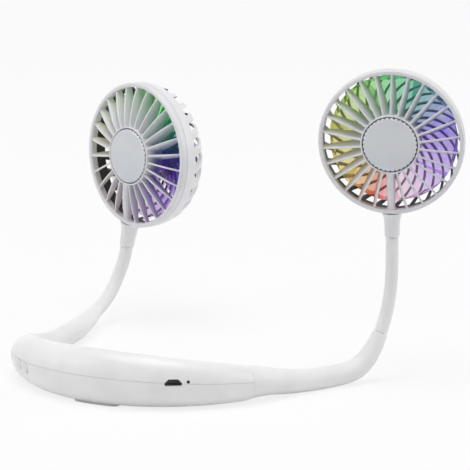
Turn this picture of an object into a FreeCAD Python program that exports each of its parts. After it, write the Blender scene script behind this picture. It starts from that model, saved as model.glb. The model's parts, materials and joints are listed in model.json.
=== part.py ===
import FreeCAD, Part
import math
import os

from FreeCAD import Matrix, Placement, Rotation, Vector

# Electric neck fan: a C-shaped battery band, two flexible arms and two round fan heads.
# Millimetres. The origin lies on the neck's axis at the band's middle height.
# +X is the wearer's right, +Y is forward along the arms, +Z is up.
# An angle along the band is counted from its back centre, positive towards the right end.

# Cutting tools reach further than anything they cut
REACH = 80.0

# Band
FLOOR = -14.5
BAND_END = 65.0
BAND_R_MID, BAND_R_END = 77.9, 78.7
HALF_HEIGHT_MID, HALF_HEIGHT_END = 15.65, 10.15
OUTER_HALF_MID, OUTER_HALF_END = 11.2, 10.15
INNER_HALF_MID, INNER_HALF_END = 11.0, 10.15
BAND_BOTTOM_MID, BAND_BOTTOM_END = -14.0, -13.3
BAND_TAPER = 1.9
BAND_STATIONS = 13
NECK_R = 68.5
WALL = 1.8
NECK_WALL_EXTRA = 1.6
END_WALL = 4.5
PARTING_RISE = 2.0
PARTING_GAP = 0.15
PARTING_NEAR, PARTING_FAR, PARTING_TOP = 55.0, 105.0, 50.0

# Things held in the band
SCREW_ANGLES = (-50.0, -27.0, 27.0, 50.0)
SCREW_R, SCREW_HEAD_R, SCREW_HEAD_H, SCREW_GRIP = 0.95, 1.9, 1.6, 7.0
SCREW_FIT, SCREW_CLEAR, SCREW_HEAD_CLEAR = 0.05, 0.25, 0.3
SCREW_SLOT = (3.0, 0.7, 1.4)
BOSS_R, BOSS_IN, SCREW_SEAT = 2.7, 0.6, -10.4
CELL = (30.0, 7.0, 18.0)
CELL_ANGLE, CELL_R, CELL_DROP, CELL_ROUND = 12.2, 77.6, 0.8, 1.6
CELL_RIB = (1.6, 6.8, 24.0)
CELL_RIB_SHIFT, CELL_SLACK = 9.0, 0.1
PAD_HALF_ANGLE, PAD_WIDTH, PAD_DEPTH = 10.5, 7.0, 1.4
PORT_ANGLE, PORT_SHIFT, PORT_Z = 36.25, -4.75, 2.7
PORT_CUT = (10.0, 3.8, 12.0)
PORT_R, PORT_SLANT, PORT_ROUND = 88.0, 2.2, 0.6
SOCKET = (7.4, 2.5, 5.6)
SOCKET_OUT, SOCKET_SHEET, SOCKET_SLANT, SOCKET_ROUND = 87.0, 0.3, 1.3, 0.5
LAMP_R, LAMP_FOOT_R, LAMP_SINK = 0.9, 83.0, 0.1
LAMP_SHIFT, LAMP_RISE = 3.75, 0.25
MAIN_BOARD = (18.4, 11.4)
MAIN_BOARD_R = 78.6
CHIP = (5.0, 5.0, 1.0)
CHIP_R, CHIP_SHIFT = 76.5, 4.0
POST_R, POST_AT, POST_SHIFT = 1.6, 78.0, 7.5
KEY_ANGLE, KEY_OFFSET, KEY_DROP = -37.0, 5.0, 1.4
KEY_R, KEY_GAP, KEY_PROUD = 2.7, 0.3, 0.5
KEY_TRAVEL, KEY_STEM_R, KEY_DEPTH, KEY_ROUND = 0.5, 1.0, 4.2, 0.45
KEY_COLLAR, KEY_COLLAR_T = 1.0, 0.7
BOARD = 1.2
SWITCH_BOARD = (20.0, 12.0)
SWITCH_BACK, SWITCH_BODY, SWITCH_TIP, SWITCH_W = 78.0, 3.0, 1.2, 4.6
HOLDER = (14.0, 4.6, 13.0)
HOLDER_DROP = 11.0
LOOM_R, LOOM_Z, LOOM_WIRE, LOOM_SHORT = 72.6, -0.9, 0.6, 2.0

# Arms: radii of the thick sleeve at distances from the band's seam, then of the thin tube
SLEEVE_END = 103.0
SLEEVE_RADII = ((0, 9.95), (18, 7.75), (39, 6.6), (62, 6.2), (80, 6.1), (92, 5.2), (103, 4.2))
TUBE_RADII = ((103, 3.95), (114, 3.65), (200, 3.65))
CORE_R, CORE_GAP, CORE_RECESS, CORE_IN_BAND = 2.4, 0.15, 0.4, 11.0
SPREAD_AT, KNEE_AT, TILT_AT = 15.0, 70.0, 132.0
LAP = 1.3
GAP = 0.3
FERRULE_R, FERRULE_L, FERRULE_LIP, FERRULE_LIP_T = 5.0, 9.0, 1.0, 1.2

# The arms as they lie in use on a table: points that their centrelines pass through.
# The right arm keeps to one upright plane, so its points are (reach from the seam, height).
RIGHT_REACH = ((30.0, -6.7), (62.0, -7.95), (79.0, -4.9), (90.0, 6.0), (97.0, 20.5), (101.3, 40.0))
RIGHT_TOP = (102.0, 68.4)
LEFT_POINTS = ((-76.6, -9.8, -5.6), (-81.0, 22.0, -7.2), (-86.4, 54.0, -6.5), (-90.1, 72.1, -4.3),
               (-91.4, 86.9, 0.4), (-90.8, 97.3, 10.3))
LEFT_TOP = (-87.2, 101.8, 29.1)
STRAIGHT_TOP = 6.0
# Each head's turn about the upright, its lift, and its lean sideways, in degrees
HEAD_TURNS = {"right": (22.5, 0.0, 0.0), "left": (-19.2, 4.0, 10.0)}

# Heads, in a frame of their own: +Z out of the front, +Y up from the stub, origin in the ring's plane
HEAD_R, RING_IN, RING_FRONT, RING_BACK = 42.0, 39.4, 1.2, -3.0
VANES, VANE_T, VANE_TILT = 26, 1.1, 17.0
VANE_FRONT = ((16.4, 6.0), (24.0, 5.0), (32.0, 3.2), (39.9, 0.5))
VANE_BACK = -2.7
STEM_W = 4.6
CUP_R, CUP_WALL, CUP_FRONT, CUP_BACK, CUP_FLOOR = 17.0, 0.9, 6.6, -5.0, 1.5
SHAFT_HOLE_R = 2.5
DISC_R, DISC_NOTCHES, DISC_BACK, DISC_RISE, SPIGOT_R = 15.75, 36, 1.2, 0.6, 3.0
NOTCH_DEEP, NOTCH_W = 0.45, 1.1
SHELL_OUT = ((42.0, -3.15), (41.6, -7.5), (40.4, -12.5), (38.6, -16.3), (35.6, -19.2), (31.0, -20.8),
             (22.0, -21.4))
SHELL_IN = ((40.4, -3.15), (40.0, -7.5), (38.8, -12.2), (37.1, -15.6), (34.3, -17.9), (30.4, -19.2),
            (22.0, -19.8))
# The rear grille's slots run out over the shoulder and end part of the way up the side
SLOTS, SLOT_IN, SLOT_OUT, SLOT_SWEEP, SLOT_PHASE = 26, 13.8, 41.6, 50.0, 0.5
RIB_WIDTHS = ((13.8, 1.8), (33.0, 1.8), (41.6, 3.4))
SLOT_LOW, SLOT_HIGH, SLOT_POINTS = -26.0, -9.5, 8
STUB_Z, STUB_END, STUB_BORE_TOP = -4.5, -56.0, -45.0
STUB_PROFILE = ((4.15, -56.0), (4.45, -50.0), (4.75, -46.0), (5.4, -43.4), (7.2, -40.5))
PIN_R, PIN_FIT, PIN_IN_TUBE, PIN_BORE, PIN_SHORT = 2.5, 0.06, 8.0, 1.2, 0.6
WIRE_HOLE_R, WIRE_HOLE_L = 1.3, 8.0
MOTOR_R, MOTOR_FRONT, MOTOR_BACK, MOTOR_ROUND = 8.5, 4.4, -3.5, 0.8
MOTOR_SCREW_AT, MOTOR_SCREW_R, MOTOR_SCREW_L = 5.5, 0.8, 3.4
MOTOR_SCREW_HEAD_R, MOTOR_SCREW_HEAD_H = 1.6, 1.2
SHAFT_R, SHAFT_FRONT, SHAFT_BACK, SHAFT_FIT = 1.0, 2.0, -15.5, 0.06
HUB_R, HUB_FRONT, HUB_BACK, HUB_WALL, HUB_TOP, HUB_BUSH_R = 11.5, -8.3, -16.0, 1.2, 1.6, 2.6
BLADES, BLADE_R, BLADE_TURN, BLADE_SKEW = 7, 36.8, 58.0, 14.0
BLADE_LOW, BLADE_RISE, BLADE_T = -14.8, 5.6, 0.9
LED_COUNT, LED_RING, LED_SIZE, LED_T = 8, 12.2, 2.2, 1.0
LED_BOARD_OUT, LED_BOARD_IN = 15.2, 9.0

UP = Vector(0, 0, 1)


def export(name, shape):
    """Writes one piece as its own file."""
    shape.exportStep(os.path.join("parts", name + ".step"))


def out_dir(angle):
    """The direction away from the neck's axis at an angle along the band."""
    return Vector(math.sin(math.radians(angle)), -math.cos(math.radians(angle)), 0)


def along_dir(angle):
    """The direction along the band, towards its right end."""
    return Vector(math.cos(math.radians(angle)), math.sin(math.radians(angle)), 0)


def mix(a, b, k):
    """The value a share k of the way from a to b."""
    return a + (b - a) * k


def lookup(table, x):
    """Straight-line reading of a short table of (x, value) pairs."""
    for (x0, y0), (x1, y1) in zip(table, table[1:]):
        if x <= x1:
            return mix(y0, y1, (x - x0) / (x1 - x0))
    return table[-1][1]


def rod(start, direction, radius, length):
    """A round bar from a start point along a direction."""
    return Part.makeCylinder(radius, length, start, direction)


def block(centre, axes, sizes):
    """A box of three sizes along three unit axes about its centre."""
    corner = centre
    for axis, size in zip(axes, sizes):
        corner = corner - axis * (size / 2)
    a, b = axes[0] * sizes[0], axes[1] * sizes[1]
    face = Part.Face(Part.makePolygon([corner, corner + a, corner + a + b, corner + b, corner]))
    return face.extrude(axes[2] * sizes[2])


def revolve(profile):
    """A solid turned about the upright from a closed run of (radius, height) points."""
    points = [Vector(r, 0, h) for r, h in profile]
    face = Part.Face(Part.makePolygon(points + points[:1]))
    return face.revolve(Vector(), UP, 360)


def fuse(shapes):
    """Shapes joined into one, without the seams between their flush faces."""
    return shapes[0].multiFuse(shapes[1:]).removeSplitter()


class Section:
    """The band's cross-section at one angle: a rounded D that narrows to a circle at the ends."""

    def __init__(self, angle):
        k = (abs(angle) / BAND_END) ** BAND_TAPER
        self.angle = angle
        self.radius = mix(BAND_R_MID, BAND_R_END, k)
        self.half_height = mix(HALF_HEIGHT_MID, HALF_HEIGHT_END, k)
        self.outer = mix(OUTER_HALF_MID, OUTER_HALF_END, k)
        self.inner = mix(INNER_HALF_MID, INNER_HALF_END, k)
        self.middle = mix(BAND_BOTTOM_MID, BAND_BOTTOM_END, k) + self.half_height

    @property
    def parting(self):
        """Height of the line where the two shells meet."""
        return self.middle + PARTING_RISE

    def wire(self, inset=0.0, neck_inset=0.0, points=16):
        """The closed outline, moved in by the wall's thickness."""
        run = []
        for i in range(points):
            turn = 2 * math.pi * i / points
            c, s = math.cos(turn), math.sin(turn)
            half = self.outer - inset if c > 0 else self.inner - inset - neck_inset
            height = self.middle + (self.half_height - inset) * s
            run.append(out_dir(self.angle) * (self.radius + half * c) + UP * height)
        curve = Part.BSplineCurve()
        curve.interpolate(Points=run, PeriodicFlag=True)
        return Part.Wire(curve.toShape())

    def surface_radius(self, height, inset=0.0):
        """Distance of the outer face from the neck's axis at a height."""
        s = (height - self.middle) / (self.half_height - inset)
        return self.radius + (self.outer - inset) * math.sqrt(1 - s * s)


def stations(limit):
    """Even steps of angle from one end to the other."""
    return [-limit + 2 * limit * i / (BAND_STATIONS - 1) for i in range(BAND_STATIONS)]


def band_body():
    """The band as one solid, with the neck's round wall cut into its inner side."""
    solid = Part.makeLoft([Section(a).wire() for a in stations(BAND_END)], True)
    return solid.cut(Part.makeCylinder(NECK_R, REACH, UP * (-REACH / 2)))


def band_cavity():
    """The space inside the band's walls."""
    limit = BAND_END - END_WALL
    return Part.makeLoft([Section(a).wire(WALL, NECK_WALL_EXTRA) for a in stations(limit)], True)


def above_parting(drop):
    """Everything higher than the parting line, less a drop."""
    wires = []
    for angle in stations(BAND_END + 3):
        out, low = out_dir(angle), UP * (Section(min(abs(angle), BAND_END)).parting - drop)
        near, far, high = out * PARTING_NEAR, out * PARTING_FAR, UP * PARTING_TOP
        wires.append(Part.makePolygon([near + low, far + low, far + high, near + high, near + low]))
    return Part.makeLoft(wires, True)


def plug_prism(centre, axes, size, slant, corner):
    """A bar with a small plug's outline: both upper corners slant, and all its edges are round."""
    def long_edges(shape):
        """The edges that run the bar's whole length."""
        return [e for e in shape.Edges if abs(e.Length - size[2]) < 0.01]

    bar = block(centre, axes, size)
    bar = bar.makeChamfer(slant, [e for e in long_edges(bar) if e.CenterOfMass.z > centre.z])
    return bar.makeFillet(corner, long_edges(bar))


def cell_block(angle, grow=0.0):
    """A battery cell's box, or the slightly larger space that it takes."""
    centre = out_dir(angle) * CELL_R + UP * (Section(angle).middle - CELL_DROP)
    axes = (along_dir(angle), out_dir(angle), UP)
    return block(centre, axes, [s + grow for s in CELL])


def key_place(side):
    """Where a push button's axis meets the outer face, and the way that axis points."""
    out, along = out_dir(KEY_ANGLE), along_dir(KEY_ANGLE)
    section = Section(KEY_ANGLE)
    height = section.middle - KEY_DROP
    face = section.surface_radius(height)
    reach = math.sqrt(face * face - KEY_OFFSET * KEY_OFFSET)
    return along * (KEY_OFFSET * side) + UP * height, out, reach


def port_frame():
    """The way out of the charging port and the way along the band there."""
    return out_dir(PORT_ANGLE), along_dir(PORT_ANGLE)


def arm_ends():
    """The centre of each band end and the way its arm sets out."""
    ends = {}
    for side, sign in (("left", -1), ("right", 1)):
        angle = BAND_END * sign
        ends[side] = out_dir(angle) * BAND_R_END + UP * Section(angle).middle, along_dir(angle) * sign
    return ends


def make_band():
    """Both shells and everything that stays fixed in the band."""
    body, cavity = band_body(), band_cavity()
    hollow = body.cut(cavity)
    upper_region = above_parting(0)
    upper = hollow.common(upper_region)
    lower = hollow.cut(above_parting(PARTING_GAP))

    screws = []
    for angle in SCREW_ANGLES:
        section = Section(angle)
        foot = out_dir(angle) * (section.radius - BOSS_IN)
        low, seat, meet = foot + UP * (FLOOR - 1), foot + UP * SCREW_SEAT, section.parting
        post = rod(low, UP, BOSS_R, REACH).common(body)
        upper = upper.fuse(post.common(upper_region))
        lower = lower.fuse(post.cut(upper_region))
        upper = upper.cut(rod(foot + UP * (meet - 1), UP, SCREW_R + SCREW_FIT, SCREW_GRIP + 2))
        lower = lower.cut(rod(low, UP, SCREW_R + SCREW_CLEAR, REACH))
        lower = lower.cut(rod(low, UP, SCREW_HEAD_R + SCREW_HEAD_CLEAR, SCREW_SEAT - FLOOR + 1))
        under = seat - UP * SCREW_HEAD_H
        head = rod(under, UP, SCREW_HEAD_R, SCREW_HEAD_H)
        slot = block(under, (out_dir(angle), along_dir(angle), UP), SCREW_SLOT)
        shank = rod(seat, UP, SCREW_R, meet - SCREW_SEAT + SCREW_GRIP)
        screws.append(head.cut(slot).fuse(shank))
    export("band_screws", Part.makeCompound(screws))

    for name, sign in (("left", -1), ("right", 1)):
        angle = CELL_ANGLE * sign
        cell = cell_block(angle)
        edges = [e for e in cell.Edges if e.Length > CELL[2] - CELL_ROUND]
        export("battery_cell_" + name, cell.makeFillet(CELL_ROUND, edges))
        for shift in (-CELL_RIB_SHIFT, CELL_RIB_SHIFT):
            centre = out_dir(angle) * CELL_R + along_dir(angle) * shift + UP * FLOOR
            rib = block(centre, (along_dir(angle), out_dir(angle), UP), CELL_RIB)
            lower = lower.fuse(rib.common(body).cut(cell_block(angle, CELL_SLACK)).cut(upper_region))
    lower = keep_largest(lower)

    out, along = port_frame()
    mouth = along * PORT_SHIFT + UP * PORT_Z
    port = plug_prism(mouth + out * PORT_R, (along, UP, out), PORT_CUT, PORT_SLANT, PORT_ROUND)
    lamp_start = along * LAMP_SHIFT + UP * (PORT_Z + LAMP_RISE) + out * LAMP_FOOT_R
    lamp_hole = rod(lamp_start, out, LAMP_R + SCREW_FIT, REACH)
    upper = upper.cut(port).cut(lamp_hole)
    lower = lower.cut(port).cut(lamp_hole)
    make_port(mouth, lamp_start, out, along)
    board_under = PORT_Z - SOCKET[1] / 2 - BOARD
    for shift in (-POST_SHIFT, POST_SHIFT):
        post = rod(out * POST_AT + along * shift + UP * FLOOR, UP, POST_R, board_under - FLOOR)
        lower = lower.fuse(post.common(body))

    for side in (-1, 1):
        place, key_out, reach = key_place(side)
        lower = lower.cut(rod(place + key_out * (reach - 2 * KEY_DEPTH), key_out, KEY_R + KEY_GAP, REACH))
    lower = lower.fuse(switch_holder(body))

    for start, direction in arm_ends().values():
        bore = rod(start - direction * (FERRULE_L + END_WALL), direction, FERRULE_R + SCREW_FIT, REACH)
        upper = upper.cut(bore)
        lower = lower.cut(bore)

    pad = foot_pad()
    lower = lower.cut(pad)
    export("foot_pad", pad)
    export("band_upper_shell", keep_largest(upper.removeSplitter()))
    export("band_lower_shell", keep_largest(lower.removeSplitter()))


def keep_largest(shape):
    """The one solid that is left when loose slivers are dropped."""
    return max(shape.Solids, key=lambda s: s.Volume)


def foot_pad():
    """A curved slip-proof foot let into the band's lowest stretch."""
    low, high = BAND_R_MID - PAD_WIDTH / 2, BAND_R_MID + PAD_WIDTH / 2
    turn = 2 * (PAD_HALF_ANGLE - math.degrees(PAD_WIDTH / 2 / BAND_R_MID))
    start = Vector(0, 0, FLOOR)
    ring = Part.makeCylinder(high, PAD_DEPTH, start, UP, turn)
    ring = ring.cut(Part.makeCylinder(low, REACH, start - UP))
    ring.rotate(Vector(), UP, -90 - turn / 2)
    for sign in (-1, 1):
        end = out_dir(turn / 2 * sign) * BAND_R_MID + start
        ring = ring.fuse(rod(end, UP, PAD_WIDTH / 2, PAD_DEPTH))
    return ring.removeSplitter()


def make_port(mouth, lamp_start, out, along):
    """The charging socket and its lamp on the main board."""
    width, height, length = SOCKET
    axes = (along, UP, out)
    middle = mouth + out * (SOCKET_OUT - length / 2)
    body = plug_prism(middle, axes, SOCKET, SOCKET_SLANT, SOCKET_ROUND)
    room = (width - 2 * SOCKET_SHEET, height - 2 * SOCKET_SHEET, length)
    deep = middle + out * (2 * SOCKET_SHEET)
    inside = plug_prism(deep, axes, room, SOCKET_SLANT, SOCKET_ROUND - SOCKET_SHEET)
    tongue = block(middle, axes, (width - 8 * SOCKET_SHEET, 2 * SOCKET_SHEET, length - 1))
    export("usb_socket", body.cut(inside).fuse(tongue))
    top = PORT_Z - height / 2
    flat = (along, out, UP)
    board = block(out * MAIN_BOARD_R + UP * (top - BOARD / 2), flat, MAIN_BOARD + (BOARD,))
    chip = block(out * CHIP_R + along * CHIP_SHIFT + UP * (top + CHIP[2] / 2), flat, CHIP)
    export("main_board", board.fuse(chip))
    reach = Section(PORT_ANGLE).surface_radius(lamp_start.z) - LAMP_SINK - LAMP_FOOT_R
    foot = rod(lamp_start, UP * -1, LAMP_R, lamp_start.z - top)
    export("charge_lamp", rod(lamp_start, out, LAMP_R, reach).fuse(foot))


def switch_holder(body):
    """A grooved block on the lower shell's floor that holds the switch board upright."""
    out, along = out_dir(KEY_ANGLE), along_dir(KEY_ANGLE)
    axes = (along, out, UP)
    middle = out * (SWITCH_BACK + BOARD / 2) + UP * (Section(KEY_ANGLE).middle - KEY_DROP)
    holder = block(middle - UP * HOLDER_DROP, axes, HOLDER).common(body)
    slack = 0.1
    return holder.cut(block(middle, axes, (REACH, BOARD + slack, SWITCH_BOARD[1] + slack)))


def make_switches():
    """The switch board, its two click switches and the push buttons in front of them."""
    out, along = out_dir(KEY_ANGLE), along_dir(KEY_ANGLE)
    axes = (along, UP, out)
    height = UP * (Section(KEY_ANGLE).middle - KEY_DROP)
    face = SWITCH_BACK + BOARD
    board = block(out * (SWITCH_BACK + BOARD / 2) + height, axes, SWITCH_BOARD + (BOARD,))
    export("switch_board", board)
    switches = []
    for side, name in ((-1, "fan_button"), (1, "light_button")):
        place, key_out, reach = key_place(side)
        body = block(place + key_out * (face + SWITCH_BODY / 2), axes, (SWITCH_W, SWITCH_W, SWITCH_BODY))
        tip = face + SWITCH_BODY
        switches.append(body.fuse(rod(place + key_out * tip, key_out, KEY_STEM_R, SWITCH_TIP)))
        stem = tip + SWITCH_TIP + KEY_TRAVEL + 0.1
        collar = reach - KEY_DEPTH
        front = reach + KEY_PROUD
        key = rod(place + key_out * collar, key_out, KEY_R, front - collar)
        rim = [e for e in key.Edges if abs(e.BoundBox.Center.dot(key_out) - front) < 0.01]
        key = key.makeFillet(KEY_ROUND, rim)
        key = key.fuse(rod(place + key_out * collar, key_out, KEY_R + KEY_COLLAR, KEY_COLLAR_T))
        key = key.fuse(rod(place + key_out * stem, key_out, KEY_STEM_R, collar - stem))
        export(name, key.removeSplitter())
    export("tact_switches", Part.makeCompound(switches))


def make_loom():
    """The wire that runs along the band from the switch board to the main board."""
    start, end = KEY_ANGLE + LOOM_SHORT, PORT_ANGLE - LOOM_SHORT
    corners = [out_dir(a) * LOOM_R + UP * LOOM_Z for a in (start, (start + end) / 2, end)]
    arc = Part.Wire(Part.Arc(*corners).toShape())
    profile = Part.Wire(Part.makeCircle(LOOM_WIRE, corners[0], along_dir(start)))
    wire = arc.makePipeShell([profile], True, False)
    for corner, angle in ((corners[0], start), (corners[2], end)):
        wire = wire.fuse(Part.makeSphere(LOOM_WIRE, corner))
        wire = wire.fuse(rod(corner, out_dir(angle), LOOM_WIRE, SWITCH_BACK - LOOM_R))
    export("wiring_loom", wire)


class CubicPath:
    """A smooth curve through points, with given directions at both ends, measured along its chords."""

    def __init__(self, points, start, end):
        self.points = points
        self.knots = [0.0]
        for a, b in zip(points, points[1:]):
            self.knots.append(self.knots[-1] + (b - a).Length)
        self.slopes = self.solve(start, end)
        self.table = self.measure()

    def solve(self, start, end):
        """Directions at the points that keep the bending continuous."""
        p, t, n = self.points, self.knots, len(self.points)
        upper, value = [0.0], [start]
        for i in range(1, n - 1):
            h0, h1 = t[i] - t[i - 1], t[i + 1] - t[i]
            right = (p[i] - p[i - 1]) * (3 * h1 / h0) + (p[i + 1] - p[i]) * (3 * h0 / h1)
            pivot = 2 * (h0 + h1) - h1 * upper[i - 1]
            upper.append(h0 / pivot)
            value.append((right - value[i - 1] * h1) * (1 / pivot))
        slopes = [end]
        for i in range(n - 2, 0, -1):
            slopes.insert(0, value[i] - slopes[0] * upper[i])
        return [start] + slopes

    def at(self, t):
        """Point and direction at a chord parameter."""
        i = max(0, min(len(self.knots) - 2, sum(k <= t for k in self.knots) - 1))
        h = self.knots[i + 1] - self.knots[i]
        x = (t - self.knots[i]) / h
        a, b = self.points[i], self.points[i + 1]
        m, n = self.slopes[i] * h, self.slopes[i + 1] * h
        point = a * (2 * x**3 - 3 * x**2 + 1) + m * (x**3 - 2 * x**2 + x)
        point += b * (3 * x**2 - 2 * x**3) + n * (x**3 - x**2)
        way = a * (6 * x**2 - 6 * x) + m * (3 * x**2 - 4 * x + 1)
        way += b * (6 * x - 6 * x**2) + n * (3 * x**2 - 2 * x)
        return point, way.normalize()

    def measure(self, steps=400):
        """Pairs of (distance along the curve, chord parameter)."""
        total, table, last = 0.0, [(0.0, 0.0)], self.points[0]
        for i in range(1, steps + 1):
            t = self.knots[-1] * i / steps
            here = self.at(t)[0]
            total += (here - last).Length
            table.append((total, t))
            last = here
        return table

    @property
    def length(self):
        """Distance from end to end along the curve."""
        return self.table[-1][0]

    def place(self, distance):
        """Point and direction at a distance along the curve; straight on beyond its ends."""
        if distance < 0:
            return self.points[0] + self.slopes[0] * distance, self.slopes[0]
        if distance > self.length:
            return self.points[-1] + self.slopes[-1] * (distance - self.length), self.slopes[-1]
        return self.at(lookup(self.table, distance))


def ring_at(point, way, radius):
    """A circle square to a direction, its start turned to one fixed side."""
    side = Vector(1, 0, 0) - way * way.x
    circle = Part.makeCircle(radius, Vector(), UP)
    turn = Rotation(side.normalize(), way.cross(side), way, "ZXY")
    circle.Placement = Placement(point, turn)
    return Part.Wire(circle)


def tube(path, start, end, radius, step=6.0):
    """A solid round bar along a path whose radius follows a function of distance."""
    count = max(3, int(math.ceil((end - start) / step)) + 1)
    wires = []
    for i in range(count):
        s = mix(start, end, i / (count - 1))
        wires.append(ring_at(*path.place(s), radius(s)))
    return Part.makeLoft(wires, True)


def sleeve_radius(s):
    """Radius of the thick sleeve at a distance from the seam."""
    return smooth(SLEEVE_RADII, s)


def tube_radius(s):
    """Radius of the thin tube at a distance from the seam."""
    return smooth(TUBE_RADII, s)


def smooth(table, x):
    """Table reading with rounded corners: the mean of readings either side."""
    reach = 5.0
    shifts = (-1.0, -0.5, 0.0, 0.5, 1.0)
    low, high = table[0][0], table[-1][0]
    return sum(lookup(table, max(low, min(high, x + reach * k))) for k in shifts) / len(shifts)


def beyond(path, at, ball):
    """The space past a bend that the piece before it must leave free."""
    centre, way = path.place(at)
    return rod(centre, way, 3 * ball, 6 * ball).cut(Part.makeSphere(ball, centre))


def make_arm(side, path):
    """The sleeves, tubes and core of one arm. Pieces meet at each bend in two balls about one centre."""
    bends = {"spread": SPREAD_AT, "knee": KNEE_AT, "tilt": TILT_AT}
    ball = {k: LAP * (sleeve_radius(s) if s < SLEEVE_END else tube_radius(s)) for k, s in bends.items()}
    top = path.length - GAP

    def stretch(name, radius, start, end, before=None, after=None, bore=CORE_R + CORE_GAP, recess=0.0):
        """One stretch; before names the bend it starts at, and after the bend it ends at."""
        low = bends[before] if before else start
        high = bends[after] + 1.2 * ball[after] if after else end
        bar = tube(path, low, high, radius)
        if bore:
            bar = bar.cut(tube(path, low - 2, high + 2, lambda s: bore))
        if before:
            hollow = ball[before] + GAP + recess
            bar = bar.cut(Part.makeSphere(hollow, path.place(low)[0]))
        if after:
            bar = bar.cut(beyond(path, bends[after], ball[after] - recess))
        export(side + "_" + name, keep_largest(bar))

    stretch("sleeve_base", sleeve_radius, GAP, None, after="spread")
    stretch("sleeve_lower", sleeve_radius, None, None, before="spread", after="knee")
    stretch("sleeve_knee", sleeve_radius, None, SLEEVE_END, before="knee")
    stretch("tube_lower", tube_radius, SLEEVE_END + GAP, None, after="tilt")
    stretch("tube_upper", tube_radius, None, top, before="tilt")

    def core(s):
        """The core's radius, the same all along."""
        return CORE_R

    inside = {"bore": 0, "recess": CORE_RECESS}
    stretch("core_base", core, -CORE_IN_BAND, None, after="spread", **inside)
    stretch("core_lower", core, None, None, before="spread", after="knee", **inside)
    stretch("core_knee", core, None, None, before="knee", after="tilt", **inside)
    stretch("core_upper", core, None, top - PIN_IN_TUBE - GAP, before="tilt", **inside)

    seam, way = path.place(0)
    ferrule = rod(seam - way * FERRULE_L, way, FERRULE_R, FERRULE_L)
    lip = seam - way * (FERRULE_L + FERRULE_LIP_T)
    ferrule = ferrule.fuse(rod(lip, way, FERRULE_R + FERRULE_LIP, FERRULE_LIP_T))
    export(side + "_arm_ferrule", ferrule.cut(rod(lip - way, way, CORE_R + SCREW_FIT, REACH)))

    for name, at in bends.items():
        point, direction = path.place(at)
        print(side, name, [round(v, 3) for v in point], [round(v, 4) for v in direction])


def head_turn(yaw, pitch, roll):
    """Axes of a head: across, up from the stub, and out of the front."""
    rise, lean = math.radians(pitch), math.radians(roll)
    front = out_dir(yaw) * math.cos(rise) + UP * math.sin(rise)
    across = along_dir(yaw)
    up = front.cross(across) * math.cos(lean) + across * math.sin(lean)
    return up.cross(front), up, front


def head_placement(stub, axes):
    """Where a head's own frame sits once its stub is on the arm."""
    across, up, front = axes
    rows = [across.x, up.x, front.x, 0, across.y, up.y, front.y, 0, across.z, up.z, front.z, 0]
    placement = Placement(Matrix(*rows, 0, 0, 0, 1))
    placement.Base = stub - placement.Rotation.multVec(Vector(0, STUB_END, STUB_Z))
    return placement


def head_bowl(profile, close):
    """A turned solid whose side follows a smooth run of points, closed flat at a given height."""
    points = [Vector(r, 0, z) for r, z in profile]
    curve = Part.BSplineCurve()
    curve.interpolate(Points=points)
    first, last = points[0], points[-1]
    corners = [last, Vector(0, 0, last.z), Vector(0, 0, close), Vector(first.x, 0, close)]
    if abs(first.z - close) > 1e-6:
        corners.append(first)
    edges = [curve.toShape()]
    edges += [Part.makeLine(a, b) for a, b in zip(corners, corners[1:])]
    return Part.Face(Part.Wire(Part.sortEdges(edges)[0])).revolve(Vector(), UP, 360)


def spiral_slot(turn):
    """One curved slot between two ribs of the rear grille."""
    sides = ([], [])
    for i in range(SLOT_POINTS):
        share = i / (SLOT_POINTS - 1)
        r = mix(SLOT_IN, SLOT_OUT, share)
        middle = turn - math.radians(SLOT_SWEEP) * share
        half = math.pi / SLOTS - lookup(RIB_WIDTHS, r) / 2 / r
        for run, sign in zip(sides, (-1, 1)):
            a = middle + half * sign
            run.append(Vector(r * math.cos(a), r * math.sin(a), SLOT_LOW))
    curves = []
    for run in sides:
        curve = Part.BSplineCurve()
        curve.interpolate(Points=run)
        curves.append(curve.toShape())
    ends = [Part.makeLine(sides[0][i], sides[1][i]) for i in (0, -1)]
    face = Part.Face(Part.Wire(Part.sortEdges(curves + ends)[0]))
    return face.extrude(UP * (SLOT_HIGH - SLOT_LOW))


def rear_shell():
    """The bowl behind the impeller, its spiral rear grille and the stub that turns on the arm."""
    close = SHELL_OUT[0][1]
    bowl = head_bowl(SHELL_OUT, close)
    front_space = Part.makeCylinder(HEAD_R + GAP, REACH, Vector(0, 0, close))
    inside = head_bowl(SHELL_IN, close).fuse(front_space)
    profile = [Vector(r, y, 0) for r, y in STUB_PROFILE]
    side = Part.BSplineCurve()
    side.interpolate(Points=profile)
    corners = [profile[-1], Vector(0, profile[-1].y, 0), Vector(0, profile[0].y, 0), profile[0]]
    lines = [Part.makeLine(a, b) for a, b in zip(corners, corners[1:])]
    stub = Part.Face(Part.Wire(Part.sortEdges([side.toShape()] + lines)[0]))
    stub = stub.revolve(Vector(), Vector(0, 1, 0), 360)
    stub.translate(UP * STUB_Z)
    slots = [spiral_slot(2 * math.pi * (i + SLOT_PHASE) / SLOTS) for i in range(SLOTS)]
    shell = bowl.cut(inside).cut(Part.makeCompound(slots)).fuse(stub.cut(inside))
    axis = Vector(0, 1, 0)
    bore = STUB_BORE_TOP - STUB_END + 1
    shell = shell.cut(rod(Vector(0, STUB_END - 1, STUB_Z), axis, PIN_R + PIN_FIT, bore))
    return shell.cut(rod(Vector(0, STUB_BORE_TOP - 1, STUB_Z), axis, WIRE_HOLE_R, WIRE_HOLE_L))


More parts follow.
